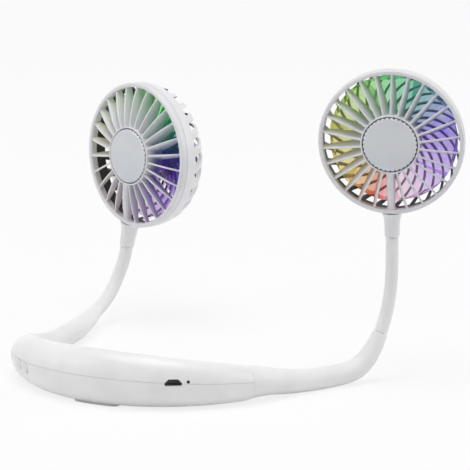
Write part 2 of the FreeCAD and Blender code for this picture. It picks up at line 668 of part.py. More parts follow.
def vane(thickness, tilt):
    """One guide vane: a thin plate from hub to ring, leaning clockwise towards the back."""
    wires = []
    for r, front in VANE_FRONT:
        lean = (front - VANE_BACK) * math.tan(math.radians(tilt))
        half = thickness / 2
        corners = ((half, front), (-half, front), (-half - lean, VANE_BACK), (half - lean, VANE_BACK))
        run = [Vector(r, t, z) for t, z in corners]
        wires.append(Part.makePolygon(run + run[:1]))
    return Part.makeLoft(wires, True, True)


def front_grille():
    """The outer ring, guide vanes and motor cup, moulded as one piece."""
    ring = revolve([(RING_IN, RING_BACK), (HEAD_R, RING_BACK), (HEAD_R, RING_FRONT - 1.0),
                    (HEAD_R - 1.0, RING_FRONT), (RING_IN + 0.5, RING_FRONT), (RING_IN, RING_FRONT - 0.6)])
    inner = CUP_R - CUP_WALL
    cup = revolve([(CUP_R, CUP_BACK), (CUP_R, CUP_FRONT - 0.3), (CUP_R - 0.3, CUP_FRONT),
                   (inner, CUP_FRONT), (inner, CUP_BACK + CUP_FLOOR),
                   (SHAFT_HOLE_R, CUP_BACK + CUP_FLOOR), (SHAFT_HOLE_R, CUP_BACK)])
    pieces = [ring, cup]
    for i in range(VANES):
        blade = vane(STEM_W, 0) if i == 0 else vane(VANE_T, VANE_TILT)
        blade.rotate(Vector(), UP, -90 + 360 * i / VANES)
        pieces.append(blade)
    grille = fuse(pieces)
    keep = revolve([(inner, -REACH), (HEAD_R, -REACH), (HEAD_R, REACH), (inner, REACH)])
    floor = Part.makeCylinder(inner + 0.1, CUP_FLOOR, Vector(0, 0, CUP_BACK))
    grille = grille.common(keep.fuse(floor))
    for spot in motor_screw_spots():
        grille = grille.cut(rod(spot + UP * (CUP_BACK - 1), UP, MOTOR_SCREW_R + 0.1, 4))
    return grille


def motor_screw_spots():
    """The two places where screws hold the motor to its cup."""
    return [Vector(MOTOR_SCREW_AT, 0, 0), Vector(-MOTOR_SCREW_AT, 0, 0)]


def hub_disc():
    """The cap in the middle of the head, with a notched rim."""
    back = CUP_FRONT - DISC_BACK
    crown = CUP_FRONT + DISC_RISE
    disc = revolve([(0, back), (DISC_R, back), (DISC_R, crown - 0.8), (DISC_R - 0.7, crown - 0.15),
                    (DISC_R - 3, crown + 0.1), (0, crown + 0.25)])
    notches = []
    for i in range(DISC_NOTCHES):
        corner = Vector(DISC_R - NOTCH_DEEP, -NOTCH_W / 2, back - 1)
        notch = Part.makeBox(1.0, NOTCH_W, 4, corner)
        notch.rotate(Vector(), UP, 360 * i / DISC_NOTCHES)
        notches.append(notch)
    disc = disc.cut(Part.makeCompound(notches))
    spigot = Part.makeCylinder(SPIGOT_R, back - MOTOR_FRONT, Vector(0, 0, MOTOR_FRONT))
    return disc.fuse(spigot)


def motor():
    """The motor's can, bored for its shaft and its two screws."""
    back = Vector(0, 0, MOTOR_BACK)
    can = Part.makeCylinder(MOTOR_R, MOTOR_FRONT - MOTOR_BACK, back)
    can = can.makeFillet(MOTOR_ROUND, [e for e in can.Edges if e.BoundBox.ZMin > MOTOR_FRONT - 0.01])
    can = can.cut(Part.makeCylinder(SHAFT_R + SHAFT_FIT, SHAFT_FRONT - MOTOR_BACK + GAP, back))
    for spot in motor_screw_spots():
        can = can.cut(rod(spot + back, UP, MOTOR_SCREW_R + 0.05, MOTOR_SCREW_L - CUP_FLOOR + GAP))
    return can


def motor_screws():
    """Two screws up through the cup's floor into the motor."""
    screws = []
    for spot in motor_screw_spots():
        seat = spot + UP * CUP_BACK
        head = rod(seat - UP * MOTOR_SCREW_HEAD_H, UP, MOTOR_SCREW_HEAD_R, MOTOR_SCREW_HEAD_H)
        screws.append(head.fuse(rod(seat, UP, MOTOR_SCREW_R, MOTOR_SCREW_L)))
    return Part.makeCompound(screws)


def impeller():
    """The hub and its wide overlapping blades, each a thin helical sheet."""
    inner, bore, top = HUB_R - HUB_WALL, SHAFT_R + 0.02, HUB_FRONT - HUB_TOP
    hub = revolve([(bore, HUB_FRONT), (HUB_R - 0.8, HUB_FRONT), (HUB_R, HUB_FRONT - 0.8),
                   (HUB_R, HUB_BACK), (inner, HUB_BACK), (inner, top), (HUB_BUSH_R, top),
                   (HUB_BUSH_R, SHAFT_BACK + 0.1), (bore, SHAFT_BACK + 0.1)])
    pitch = BLADE_RISE * 360 / BLADE_TURN
    root = Part.makeHelix(pitch, BLADE_RISE, HUB_R - 0.5).Edges[0]
    tip = Part.makeHelix(pitch, BLADE_RISE, BLADE_R)
    tip.rotate(Vector(), UP, BLADE_SKEW)
    sheet = Part.makeRuledSurface(root, tip.Edges[0])
    blade = sheet.extrude(UP * BLADE_T)
    blade.translate(UP * BLADE_LOW)
    pieces = [hub]
    for i in range(BLADES):
        copy = blade.copy()
        copy.rotate(Vector(), UP, 360 * i / BLADES)
        pieces.append(copy)
    return fuse(pieces)


def led_board():
    """The ring-shaped lamp board behind the cup."""
    ring = Part.makeCylinder(LED_BOARD_OUT, BOARD, Vector(0, 0, CUP_BACK - BOARD))
    return ring.cut(Part.makeCylinder(LED_BOARD_IN, REACH, Vector(0, 0, -REACH / 2)))


def leds():
    """The lamps on the board, facing back on to the blades."""
    lamps = []
    half = LED_SIZE / 2
    for i in range(LED_COUNT):
        corner = Vector(LED_RING - half, -half, CUP_BACK - BOARD - LED_T)
        lamp = Part.makeBox(LED_SIZE, LED_SIZE, LED_T, corner)
        lamp.rotate(Vector(), UP, 360 * (i + 0.5) / LED_COUNT)
        lamps.append(lamp)
    return Part.makeCompound(lamps)


def make_heads(stubs):
    """The same fan head on both arms, with the pin that each turns on."""
    pin_start = STUB_END - PIN_IN_TUBE
    axis, foot = Vector(0, 1, 0), Vector(0, pin_start, STUB_Z)
    pin = rod(foot, axis, PIN_R, STUB_BORE_TOP - PIN_SHORT - pin_start)
    shaft = Part.makeCylinder(SHAFT_R, SHAFT_FRONT - SHAFT_BACK, Vector(0, 0, SHAFT_BACK))
    pieces = {
        "swivel_pin": pin.cut(rod(foot - axis, axis, PIN_BORE, REACH)),
        "rear_shell": rear_shell(),
        "front_grille": front_grille(),
        "hub_disc": hub_disc(),
        "motor": motor(),
        "motor_screws": motor_screws(),
        "motor_shaft": shaft,
        "impeller": impeller(),
        "led_board": led_board(),
        "leds": leds(),
    }
    for side, (stub, axes) in stubs.items():
        placement = head_placement(stub, axes)
        for name, shape in pieces.items():
            placed = shape.copy()
            placed.Placement = placement.multiply(placed.Placement)
            export(side + "_" + name, placed)
        centre = placement.multVec(Vector())
        print(side, "head", [round(v, 3) for v in centre], [[round(v, 4) for v in a] for a in axes])


def make_paths():
    """The centreline of each arm and the axes of the head on its top."""
    runs = {}
    for side, (start, way) in arm_ends().items():
        if side == "right":
            run = [start + way * t + UP * (z - start.z) for t, z in RIGHT_REACH + (RIGHT_TOP,)]
        else:
            run = [Vector(*p) for p in LEFT_POINTS + (LEFT_TOP,)]
        axes = head_turn(*HEAD_TURNS[side])
        run.insert(-1, run[-1] - axes[1] * STRAIGHT_TOP)
        runs[side] = CubicPath([start] + run, way, axes[1]), axes
    return runs


def main():
    """Builds and writes every piece."""
    os.makedirs("parts", exist_ok=True)
    make_band()
    make_switches()
    make_loom()
    stubs = {}
    for side, (path, axes) in make_paths().items():
        make_arm(side, path)
        stubs[side] = (path.points[-1], axes)
        print(side, "length", round(path.length, 2))
    make_heads(stubs)


main()
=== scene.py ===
"""Looks of an electric neck fan: a white battery band, two bendable arms and two lamp-lit fan heads."""

import json
import logging
import math
from dataclasses import dataclass, field
from enum import Enum
from typing import Iterable, Sequence

import bmesh
import bpy
from mathutils import Matrix, Vector


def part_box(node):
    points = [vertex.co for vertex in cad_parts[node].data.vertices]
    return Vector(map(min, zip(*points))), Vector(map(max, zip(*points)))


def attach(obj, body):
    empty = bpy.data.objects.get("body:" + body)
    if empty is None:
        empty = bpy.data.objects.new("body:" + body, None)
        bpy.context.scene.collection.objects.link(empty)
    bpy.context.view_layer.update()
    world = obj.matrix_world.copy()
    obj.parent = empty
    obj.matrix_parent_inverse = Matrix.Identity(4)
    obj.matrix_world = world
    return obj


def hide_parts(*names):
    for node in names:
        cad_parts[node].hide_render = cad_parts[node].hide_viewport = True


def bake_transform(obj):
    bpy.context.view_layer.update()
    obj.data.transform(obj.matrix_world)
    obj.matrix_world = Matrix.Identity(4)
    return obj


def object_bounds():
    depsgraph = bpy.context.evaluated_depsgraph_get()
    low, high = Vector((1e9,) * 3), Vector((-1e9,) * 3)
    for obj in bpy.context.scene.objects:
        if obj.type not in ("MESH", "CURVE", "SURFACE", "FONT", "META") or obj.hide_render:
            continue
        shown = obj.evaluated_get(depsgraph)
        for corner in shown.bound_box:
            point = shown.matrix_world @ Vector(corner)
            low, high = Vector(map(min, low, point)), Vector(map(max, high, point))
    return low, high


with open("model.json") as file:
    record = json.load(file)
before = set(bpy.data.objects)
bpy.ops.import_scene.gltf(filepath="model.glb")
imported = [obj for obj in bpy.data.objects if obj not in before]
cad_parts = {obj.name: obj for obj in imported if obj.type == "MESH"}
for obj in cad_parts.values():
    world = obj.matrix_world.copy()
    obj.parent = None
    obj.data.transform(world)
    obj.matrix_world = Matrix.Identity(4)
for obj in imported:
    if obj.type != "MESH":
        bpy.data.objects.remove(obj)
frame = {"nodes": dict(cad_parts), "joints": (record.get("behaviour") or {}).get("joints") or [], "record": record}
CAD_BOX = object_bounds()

LOG = logging.getLogger("neck_fan")
MM = 0.001
UP = Vector((0.0, 0.0, 1.0))
Colour = tuple[float, float, float]
Wheel = tuple[tuple[float, Colour], ...]
Table = Sequence[tuple[float, float]]
Socket = bpy.types.NodeSocket


def srgb(red: int, green: int, blue: int) -> Colour:
    """A colour as seen on a screen, turned into the linear values that shaders take.

    Args:
        red: Red, from 0 to 255.
        green: Green, from 0 to 255.
        blue: Blue, from 0 to 255.

    Returns:
        The three linear values.
    """
    def linear(value: int) -> float:
        """One channel's linear value."""
        share = value / 255
        return share / 12.92 if share <= 0.04045 else ((share + 0.055) / 1.055) ** 2.4

    return linear(red), linear(green), linear(blue)


class Side(Enum):
    """The wearer's two sides."""

    LEFT = "left"
    RIGHT = "right"

    def named(self, what: str) -> str:
        """The name of this side's own node, body or joint."""
        return f"{self.value}_{what}"


class Slot(Enum):
    """The record's material slots, given along with the new pieces."""

    SLEEVE = "white_sleeve"
    GRILLE = "white_grille"
    CAP = "silver_cap"
    BLADE = "clear_blade"
    BLACK = "black_plastic"
    KEY = "white_key"


class Graph:
    """The shader nodes of a material or a world under construction."""

    def __init__(self, owner: bpy.types.Material | bpy.types.World) -> None:
        """Starts from the nodes that every new material or world has."""
        owner.use_nodes = True
        self.tree = owner.node_tree

    def first(self, kind: str) -> bpy.types.Node:
        """The first node whose kind starts with a word."""
        return next(n for n in self.tree.nodes if n.type.startswith(kind))

    @property
    def shader(self) -> bpy.types.Node:
        """A material's principled shader."""
        return self.first("BSDF_PRINCIPLED")

    def put(self, node: bpy.types.Node, values: dict[str | int, object]) -> None:
        """Gives a node's inputs what they take.

        Args:
            node: The node.
            values: By an input's name or number, a socket to join to it or a constant.
        """
        for key, value in values.items():
            if isinstance(value, Socket):
                self.tree.links.new(value, node.inputs[key])
            else:
                node.inputs[key].default_value = value

    def node(self, kind: str, values: dict[str | int, object], **settings: object) -> bpy.types.Node:
        """Adds a node.

        Args:
            kind: The node's type name, without its ShaderNode prefix.
            values: What its inputs take.
            settings: Its own properties by name.

        Returns:
            The new node.
        """
        made = self.tree.nodes.new("ShaderNode" + kind)
        for name, value in settings.items():
            setattr(made, name, value)
        self.put(made, values)
        return made

    def coordinates(self, output: str = "Object") -> Socket:
        """The piece's own coordinates, in metres, or its own normal."""
        return self.node("TexCoord", {}).outputs[output]

    def noise(self, place: Socket, scale: float, detail: float = 2.0) -> Socket:
        """Soft noise from 0 to 1, with a number of cells per metre and of finer octaves."""
        return self.node("TexNoise", {"Vector": place, "Scale": scale, "Detail": detail}).outputs["Fac"]

    def span(self, value: Socket, low: float, high: float,
             source: tuple[float, float] = (0.3, 0.7)) -> Socket:
        """Stretches one range of a value smoothly over another.

        Args:
            value: The value to stretch.
            low: What the source range's start becomes.
            high: What its end becomes.
            source: The source range.

        Returns:
            The stretched value, held within the new range.
        """
        values = {"Value": value, "From Min": source[0], "From Max": source[1], "To Min": low, "To Max": high}
        return self.node("MapRange", values, interpolation_type="SMOOTHSTEP").outputs["Result"]

    def mix(self, share: Socket, first: Colour | Socket, second: Colour | Socket) -> Socket:
        """Mixes two colours by a share.

        Args:
            share: 0 for the first colour, 1 for the second.
            first: A colour, or a socket that gives one.
            second: Likewise.

        Returns:
            The mixed colour.
        """
        pair = [c if isinstance(c, Socket) else (*c, 1.0) for c in (first, second)]
        return self.node("Mix", {0: share, 6: pair[0], 7: pair[1]}, data_type="RGBA").outputs[2]

    def bump(self, height: Socket, depth: float) -> None:
        """Raises fine relief, given as a height from 0 to 1 and its depth in metres."""
        relief = self.node("Bump", {"Height": height, "Distance": depth, "Strength": 1.0})
        self.put(self.shader, {"Normal": relief.outputs["Normal"]})

    def math(self, operation: str, *values: object) -> Socket:
        """One sum on sockets or numbers."""
        return self.node("Math", dict(enumerate(values)), operation=operation).outputs[0]

    def vector(self, operation: str, *values: object) -> Socket:
        """One sum on sockets or constant vectors: a vector, or a value for a length or a dot product."""
        made = self.node("VectorMath", dict(enumerate(values)), operation=operation)
        return made.outputs["Value" if operation in ("LENGTH", "DOT_PRODUCT") else "Vector"]

    def wheel(self, place: Socket, stops: Wheel) -> Socket:
        """Colours laid round the piece's own upright axis.

        Args:
            place: The piece's own coordinates.
            stops: Angles in degrees, from -180 to 180, with the colour there.

        Returns:
            The colour.
        """
        parts = self.node("SeparateXYZ", {0: place}).outputs
        angle = self.math("ARCTAN2", parts["Y"], parts["X"])
        ramp = self.node("ValToRGB", {0: self.math("MULTIPLY_ADD", angle, 1 / (2 * math.pi), 0.5)})
        marks = ramp.color_ramp.elements
        for spare in list(marks)[1:]:
            marks.remove(spare)
        for degrees, colour in stops:
            mark = marks.new((degrees + 180.0) / 360.0)
            mark.color = (*colour, 1.0)
        marks.remove(marks[0])
        return ramp.outputs[0]

    def background_rays(self) -> Socket:
        """1 on rays that show the background: straight from the camera, mirrored or through glass.

        Returns:
            The share of a ray, 0 or 1.
        """
        rays = self.node("LightPath", {}).outputs
        direct = self.math("MAXIMUM", rays["Is Camera Ray"], rays["Is Glossy Ray"])
        return self.math("MAXIMUM", direct, rays["Is Transmission Ray"])

    def blend(self, share: Socket, first: bpy.types.Node, second: bpy.types.Node) -> None:
        """Sends a mix of two shaders to the output."""
        mixed = self.node("MixShader", {0: share, 1: first.outputs[0], 2: second.outputs[0]})
        self.put(self.first("OUTPUT"), {"Surface": mixed.outputs[0]})


@dataclass(frozen=True)
class Finish:
    """A moulded or coated surface: soft patches of tint, uneven gloss and a fine grain."""

    name: str
    colour: Colour
    tint: Colour
    gloss: tuple[float, float] = (0.36, 0.46)
    grain: float = 1500.0
    relief: float = 0.00002
    patches: float = 45.0
    metallic: float = 0.0
    coat: float = 0.0
    sheen: float = 0.0

    def material(self) -> bpy.types.Material:
        """The material, made the first time that it is asked for.

        Returns:
            The material of this finish's name.
        """
        found = bpy.data.materials.get(self.name)
        if found is None:
            found = bpy.data.materials.new(self.name)
            self.dress(Graph(found))
        return found

    def dress(self, graph: Graph) -> None:
        """Fills a material's nodes.

        Args:
            graph: The material's nodes.
        """
        place = graph.coordinates()
        gloss = graph.span(graph.noise(place, 4 * self.patches, 3.0), *self.gloss)
        graph.put(graph.shader, {
            "Base Color": self.paint(graph, place), "Roughness": gloss, "Metallic": self.metallic,
            "Coat Weight": self.coat, "Sheen Weight": self.sheen})
        graph.bump(self.surface(graph, place), self.relief)

    def paint(self, graph: Graph, place: Socket) -> Socket:
        """The colour all over the surface."""
        return graph.mix(graph.span(graph.noise(place, self.patches), 0.0, 1.0), self.colour, self.tint)

    def surface(self, graph: Graph, place: Socket) -> Socket:
        """The fine relief all over the surface."""
        return graph.noise(place, self.grain)


@dataclass(frozen=True)
class PaintedShadeBowl(Finish):
    """A bowl that is white outside, with painted shade on its inner faces, where the blades stand before it."""

    # Painted shade: the near-black colour laid on the bowl's inner faces
    painted_shade: Colour = (0.03, 0.03, 0.035)
    centre: tuple[float, float, float] = (0.0, 0.0, 0.0)
    front: tuple[float, float, float] = (0.0, 0.0, 1.0)
    reach: float = 0.0407
    turn: tuple[float, float] = (0.1, 0.4)

    def paint(self, graph: Graph, place: Socket) -> Socket:
        """White, with painted shade on faces within the bowl that look forward or towards its axis.

        Args:
            graph: The material's nodes.
            place: The piece's own coordinates.

        Returns:
            The colour.
        """
        normal = graph.coordinates("Normal")
        offset = graph.vector("SUBTRACT", place, self.centre)
        outward = graph.vector("SUBTRACT", offset, graph.vector("PROJECT", offset, self.front))
        forward = graph.vector("DOT_PRODUCT", normal, self.front)
        away = graph.vector("DOT_PRODUCT", normal, graph.vector("NORMALIZE", outward))
        inward = graph.math("MULTIPLY", away, -1.0)
        shade_share = graph.span(graph.math("MAXIMUM", forward, inward), 0.0, 1.0, self.turn)
        within = graph.math("LESS_THAN", graph.vector("LENGTH", outward), self.reach)
        return graph.mix(graph.math("MULTIPLY", shade_share, within), super().paint(graph, place), self.painted_shade)


@dataclass(frozen=True)
class SpunFinish(Finish):
    """A satin cap with faint rings turned about its own axis."""

    rings: float = 420.0
    waver: float = 0.4

    def surface(self, graph: Graph, place: Socket) -> Socket:
        """Fine circular lines over the grain.

        Args:
            graph: The material's nodes.
            place: The piece's own coordinates.

        Returns:
            The relief.
        """
        values = {"Vector": place, "Scale": self.rings, "Distortion": self.waver}
        wave = graph.node("TexWave", values, wave_type="RINGS", rings_direction="Z")
        return graph.math("ADD", wave.outputs["Fac"], super().surface(graph, place))


@dataclass(frozen=True)
class BrushedFinish(Finish):
    """Bare metal with fine lines drawn one way."""

    stretch: tuple[float, float, float] = (900.0, 900.0, 40.0)

    def surface(self, graph: Graph, place: Socket) -> Socket:
        """Noise drawn out along one direction."""
        return graph.noise(graph.vector("MULTIPLY", place, self.stretch), 1.0, 3.0)


@dataclass(frozen=True)
class BladesPaintedLampLight(Finish):
    """See-through blades with the lamps' light painted on in a wheel of colours, by angle about the piece's own
    axis, and a painted glow.
    """

    wheel: Wheel = ()
    clear: float = 0.92
    # Painted glow: the blades, which are no lamp, give off light in the lamps' colours
    glow: float = 0.08
    bend: float = 1.12
    streaks: float = 160.0
    streak_share: float = 0.16

    def dress(self, graph: Graph) -> None:
        """Lays the painted wheel of lamp colours over the usual grain, gives off the same colours as a painted
        glow and lets light through.

        Args:
            graph: The material's nodes.
        """
        super().dress(graph)
        colours = graph.shader.inputs["Base Color"].links[0].from_socket
        graph.put(graph.shader, {
            "Emission Color": colours, "Emission Strength": self.glow, "Transmission Weight": self.clear,
            "IOR": self.bend})

    def paint(self, graph: Graph, place: Socket) -> Socket:
        """The painted lamp colours under faint pale streaks."""
        streaks = graph.span(graph.noise(place, self.streaks, 3.0), 0.0, self.streak_share)
        return graph.mix(streaks, graph.wheel(place, self.wheel), self.tint)


@dataclass(frozen=True)
class GrillePaintedLampLight(Finish):
    """A white grille with the lamps' coloured light painted onto its vanes towards their back edges."""

    wheel: Wheel = ()
    # Painted lamp light: the greatest share of the lamps' colour laid on the vanes
    painted_light_share: float = 0.62
    depth: tuple[float, float] = (-0.0027, 0.0042)
    reach: tuple[float, float] = (0.0385, 0.0393)

    def paint(self, graph: Graph, place: Socket) -> Socket:
        """White at the front, with more painted lamp light in the wheel's colour the deeper a vane goes.

        Args:
            graph: The material's nodes.
            place: The piece's own coordinates.

        Returns:
            The colour.
        """
        height = graph.node("SeparateXYZ", {0: place}).outputs["Z"]
        away = graph.vector("LENGTH", graph.vector("MULTIPLY", place, (1.0, 1.0, 0.0)))
        deep = graph.span(height, self.painted_light_share, 0.0, self.depth)
        within = graph.span(away, 1.0, 0.0, self.reach)
        share = graph.math("MULTIPLY", deep, within)
        return graph.mix(share, super().paint(graph, place), graph.wheel(place, self.wheel))


@dataclass(frozen=True)
class LampFinish(Finish):
    """A small lamp's lens that gives light of its own."""

    glow: float = 2.0

    def dress(self, graph: Graph) -> None:
        """Adds the lamp's own light to the usual surface."""
        super().dress(graph)
        graph.put(graph.shader, {"Emission Color": (*self.colour, 1.0), "Emission Strength": self.glow})


WHITE = srgb(240, 240, 240)
SHELL = Finish("satin_white_moulding", WHITE, srgb(234, 234, 235), gloss=(0.3, 0.4), grain=1300.0,
               relief=0.000012, coat=0.08)
SLEEVE = Finish("soft_white_silicone", srgb(238, 238, 238), srgb(232, 232, 233), gloss=(0.46, 0.58),
                grain=2200.0, relief=0.00003, sheen=0.12)
CAP = SpunFinish("silver_grey_cap", srgb(210, 213, 217), srgb(203, 206, 213), gloss=(0.3, 0.4), grain=1800.0,
                 relief=0.000008, patches=30.0, metallic=0.25, coat=0.15)
KEY = Finish("white_key_moulding", srgb(239, 239, 239), srgb(233, 233, 234), gloss=(0.34, 0.44),
             relief=0.000012)
MARK = Finish("raised_white_mark", srgb(226, 226, 228), srgb(219, 219, 222), gloss=(0.42, 0.52), grain=2200.0,
              relief=0.00001)
BLACK = Finish("black_socket_plastic", srgb(22, 22, 24), srgb(30, 30, 33), gloss=(0.4, 0.55), grain=1800.0)
WINDOW = Finish("smoked_lamp_window", srgb(16, 16, 19), srgb(24, 24, 28), gloss=(0.1, 0.16), grain=900.0,
                relief=0.000005, coat=0.3)
FOOT = Finish("pale_foot_rubber", srgb(214, 214, 215), srgb(204, 204, 206), gloss=(0.6, 0.75), grain=2600.0,
              relief=0.00005)
STEEL = BrushedFinish("drawn_steel", srgb(186, 187, 190), srgb(170, 171, 175), gloss=(0.28, 0.4),
                      relief=0.00001, metallic=1.0)
SOCKET = BrushedFinish("dark_socket_steel", srgb(86, 87, 90), srgb(70, 71, 74), gloss=(0.35, 0.5),
                       relief=0.00001, metallic=0.9)
FOIL = Finish("cell_foil", srgb(196, 198, 202), srgb(176, 179, 184), gloss=(0.25, 0.45), grain=700.0,
              relief=0.00008, metallic=0.9)
BOARD = Finish("green_board", srgb(22, 92, 52), srgb(14, 70, 40), gloss=(0.3, 0.45), grain=1200.0,
               relief=0.00003, patches=220.0, coat=0.3)
WIRE = Finish("red_wire_sheath", srgb(176, 40, 34), srgb(150, 30, 28), gloss=(0.45, 0.6), grain=2000.0)
LAMP = LampFinish("lamp_lens", srgb(255, 250, 238), srgb(250, 240, 225), gloss=(0.1, 0.2), grain=900.0,
                  relief=0.00001)

# Painted lamp light: the colours of the lamps' light on the lit blades and the vanes, by angle in degrees,
# anticlockwise from the head's own right
PAINTED_LIGHT_WHEELS: dict[Side, Wheel] = {
    Side.RIGHT: (
        (-180, srgb(208, 203, 134)), (-140, srgb(218, 202, 138)), (-106, srgb(222, 142, 130)),
        (-86, srgb(232, 208, 220)), (-40, srgb(198, 176, 228)), (2, srgb(160, 134, 214)),
        (30, srgb(142, 148, 198)), (62, srgb(124, 182, 172)), (92, srgb(136, 206, 158)),
        (132, srgb(178, 212, 138)), (180, srgb(208, 203, 134))),
    Side.LEFT: (
        (-180, srgb(232, 226, 190)), (-90, srgb(208, 190, 206)), (-45, srgb(178, 142, 222)),
        (-12, srgb(112, 72, 190)), (14, srgb(84, 76, 186)), (36, srgb(70, 138, 154)),
        (60, srgb(84, 186, 144)), (88, srgb(130, 216, 136)), (125, srgb(204, 230, 196)),
        (180, srgb(232, 226, 190))),
}

# Finishes of the construction's own nodes, each with the endings of their names
NODE_FINISHES: tuple[tuple[Finish, tuple[str, ...]], ...] = (
    (SHELL, ("band_upper_shell", "band_lower_shell")), (FOOT, ("foot_pad",)), (WINDOW, ("charge_lamp",)),
    (FOIL, ("battery_cell_left", "battery_cell_right")), (SOCKET, ("usb_socket",)), (WIRE, ("wiring_loom",)),
    (BOARD, ("main_board", "switch_board", "_led_board")), (BLACK, ("tact_switches",)), (KEY, ("_button",)),
    (STEEL, ("band_screws", "_arm_ferrule", "_core_base", "_core_lower", "_core_knee", "_core_upper",
             "_swivel_pin", "_motor", "_motor_screws", "_motor_shaft")), (LAMP, ("_leds",)),
)


def rounded(corners: Sequence[tuple[float, float, float]], steps: int = 4) -> list[tuple[float, float]]:
    """A closed outline whose corners are eased.

    Args:
        corners: Each corner's two coordinates and how far back its easing starts.
        steps: Straight pieces in each eased corner.

    Returns:
        The outline's points in order.
    """
    run = []
    for i, (x, y, back) in enumerate(corners):
        here = Vector((x, y))
        if back <= 0:
            run.append((x, y))
            continue
        before = Vector(corners[i - 1][:2])
        after = Vector(corners[(i + 1) % len(corners)][:2])
        first = here + (before - here).normalized() * back
        last = here + (after - here).normalized() * back
        for k in range(steps + 1):
            t = k / steps
            point = first * (1 - t) ** 2 + here * (2 * t * (1 - t)) + last * t**2
            run.append((point.x, point.y))
    return run


def between(table: Table, x: float) -> float:
    """Straight-line reading of a short table.

    Args:
        table: Pairs of position and value in order.
        x: The position to read at.

    Returns:
        The value there, or the nearest end's value.
    """
    if x <= table[0][0]:
        return table[0][1]
    for (x0, y0), (x1, y1) in zip(table, table[1:]):
        if x <= x1:
            return y0 + (y1 - y0) * (x - x0) / (x1 - x0)
    return table[-1][1]


def spoke(degrees: float) -> Vector:
    """The level direction at an angle from the first axis."""
    a = math.radians(degrees)
    return Vector((math.cos(a), math.sin(a), 0.0))


def shown(name: str, data: bpy.types.ID) -> bpy.types.Object:
    """Puts a new object into the scene.

    Args:
        name: The object's name.
        data: Its mesh, lamp or camera.

    Returns:
        The new object.
    """
    made = bpy.data.objects.new(name, data)
    bpy.context.scene.collection.objects.link(made)
    return made


class Mould:
    """A mesh under construction, in millimetres."""

    def __init__(self) -> None:
        """Starts with no points."""
        self.points: list[Vector] = []
        self.faces: list[tuple[int, ...]] = []

    def ring(self, points: Iterable[Vector]) -> list[int]:
        """Adds points.

        Args:
            points: The points in order.

        Returns:
            Their numbers.
        """
        start = len(self.points)
        self.points.extend(points)
        return list(range(start, len(self.points)))

    def bridge(self, first: list[int], second: list[int]) -> None:
        """Joins two closed rings by faces.

        Args:
            first: One ring's point numbers.
            second: As many of the other's.
        """
        count = len(first)
        for i in range(count):
            j = (i + 1) % count
            self.faces.append((first[i], first[j], second[j], second[i]))

    def sweep(self, rings: Iterable[Iterable[Vector]], closed: bool = False) -> None:
        """Skins a run of rings.

        Args:
            rings: The rings' points in order.
            closed: Whether the last ring meets the first; otherwise both ends are capped.
        """
        made = [self.ring(r) for r in rings]
        for a, b in zip(made, made[1:]):
            self.bridge(a, b)
        if closed:
            self.bridge(made[-1], made[0])
        else:
            self.faces.append(tuple(reversed(made[0])))
            self.faces.append(tuple(made[-1]))

    def turned(self, outline: Table, segments: int) -> None:
        """Turns a closed outline about the upright axis.

        Args:
            outline: Its points as radius and height.
            segments: Steps in a full turn.
        """
        ways = [spoke(360.0 * i / segments) for i in range(segments)]
        self.sweep(([way * r + UP * z for r, z in outline] for way in ways), closed=True)

    def piece(self, name: str, finish: Finish, place: Matrix | None = None,
              sharp: float = 42.0) -> bpy.types.Object:
        """Makes the object.

        Args:
            name: The piece's name.
            finish: What its surface is.
            place: Where the mesh's own frame sits, in metres; the shared frame by default.
            sharp: Edges that turn by more degrees than this stay crisp.

        Returns:
            The new object.
        """
        mesh = bpy.data.meshes.new(name)
        mesh.from_pydata([p * MM for p in self.points], [], self.faces)
        shape = bmesh.new()
        shape.from_mesh(mesh)
        bmesh.ops.recalc_face_normals(shape, faces=shape.faces)
        shape.to_mesh(mesh)
        shape.free()
        mesh.shade_smooth()
        mesh.set_sharp_from_angle(angle=math.radians(sharp))
        mesh.materials.append(finish.material())
        made = shown(name, mesh)
        if place is not None:
            made.matrix_world = place
        return made


def joint(name: str) -> dict:
    """The frame's joint of that name."""
    return next(j for j in frame["joints"] if j["name"] == name)


def mount(name: str) -> dict:
    """The record's mount of that name."""
    return next(m for m in frame["record"]["mounts"] if m["name"] == name)


def frame_of(across: Vector, up: Vector, front: Vector, origin: Vector) -> Matrix:
    """The placing of a piece's own frame.

    Args:
        across: Its first axis.
        up: Its second axis.
        front: Its third axis.
        origin: Its origin in metres.

    Returns:
        The matrix from the piece's frame to the shared one.
    """
    place = Matrix((across, up, front)).transposed().to_4x4()
    place.translation = origin
    return place


def face_frame(node: str, out: Vector) -> Matrix:
    """The frame of a node's outermost face.

    Args:
        node: The node's name.
        out: The level direction out of the face.

    Returns:
        The face's frame, its second axis up and its third axis out.
    """
    low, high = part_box(node)
    centre = (low + high) / 2
    reach = max(v.co.dot(out) for v in frame["nodes"][node].data.vertices)
    return frame_of(UP.cross(out), UP, out, centre + out * (reach - centre.dot(out)))


def dress_node(name: str, finish: Finish) -> None:
    """Gives one of the construction's own nodes its surface.

    Args:
        name: The node's name.
        finish: What its surface is.
    """
    mesh = frame["nodes"][name].data
    mesh.materials.clear()
    mesh.materials.append(finish.material())
    LOG.info("node %s: %s", name, finish.name)


def ride(piece: bpy.types.Object, body: str, slot: Slot, *nodes: str) -> None:
    """Lets a piece move with a body and stand for nodes.

    Args:
        piece: The new piece.
        body: The body's name.
        slot: Not used.
        nodes: The nodes that it stands for.
    """
    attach(piece, body)
    if nodes:
        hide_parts(*nodes)
    LOG.info("piece %s rides on %s", piece.name, body)


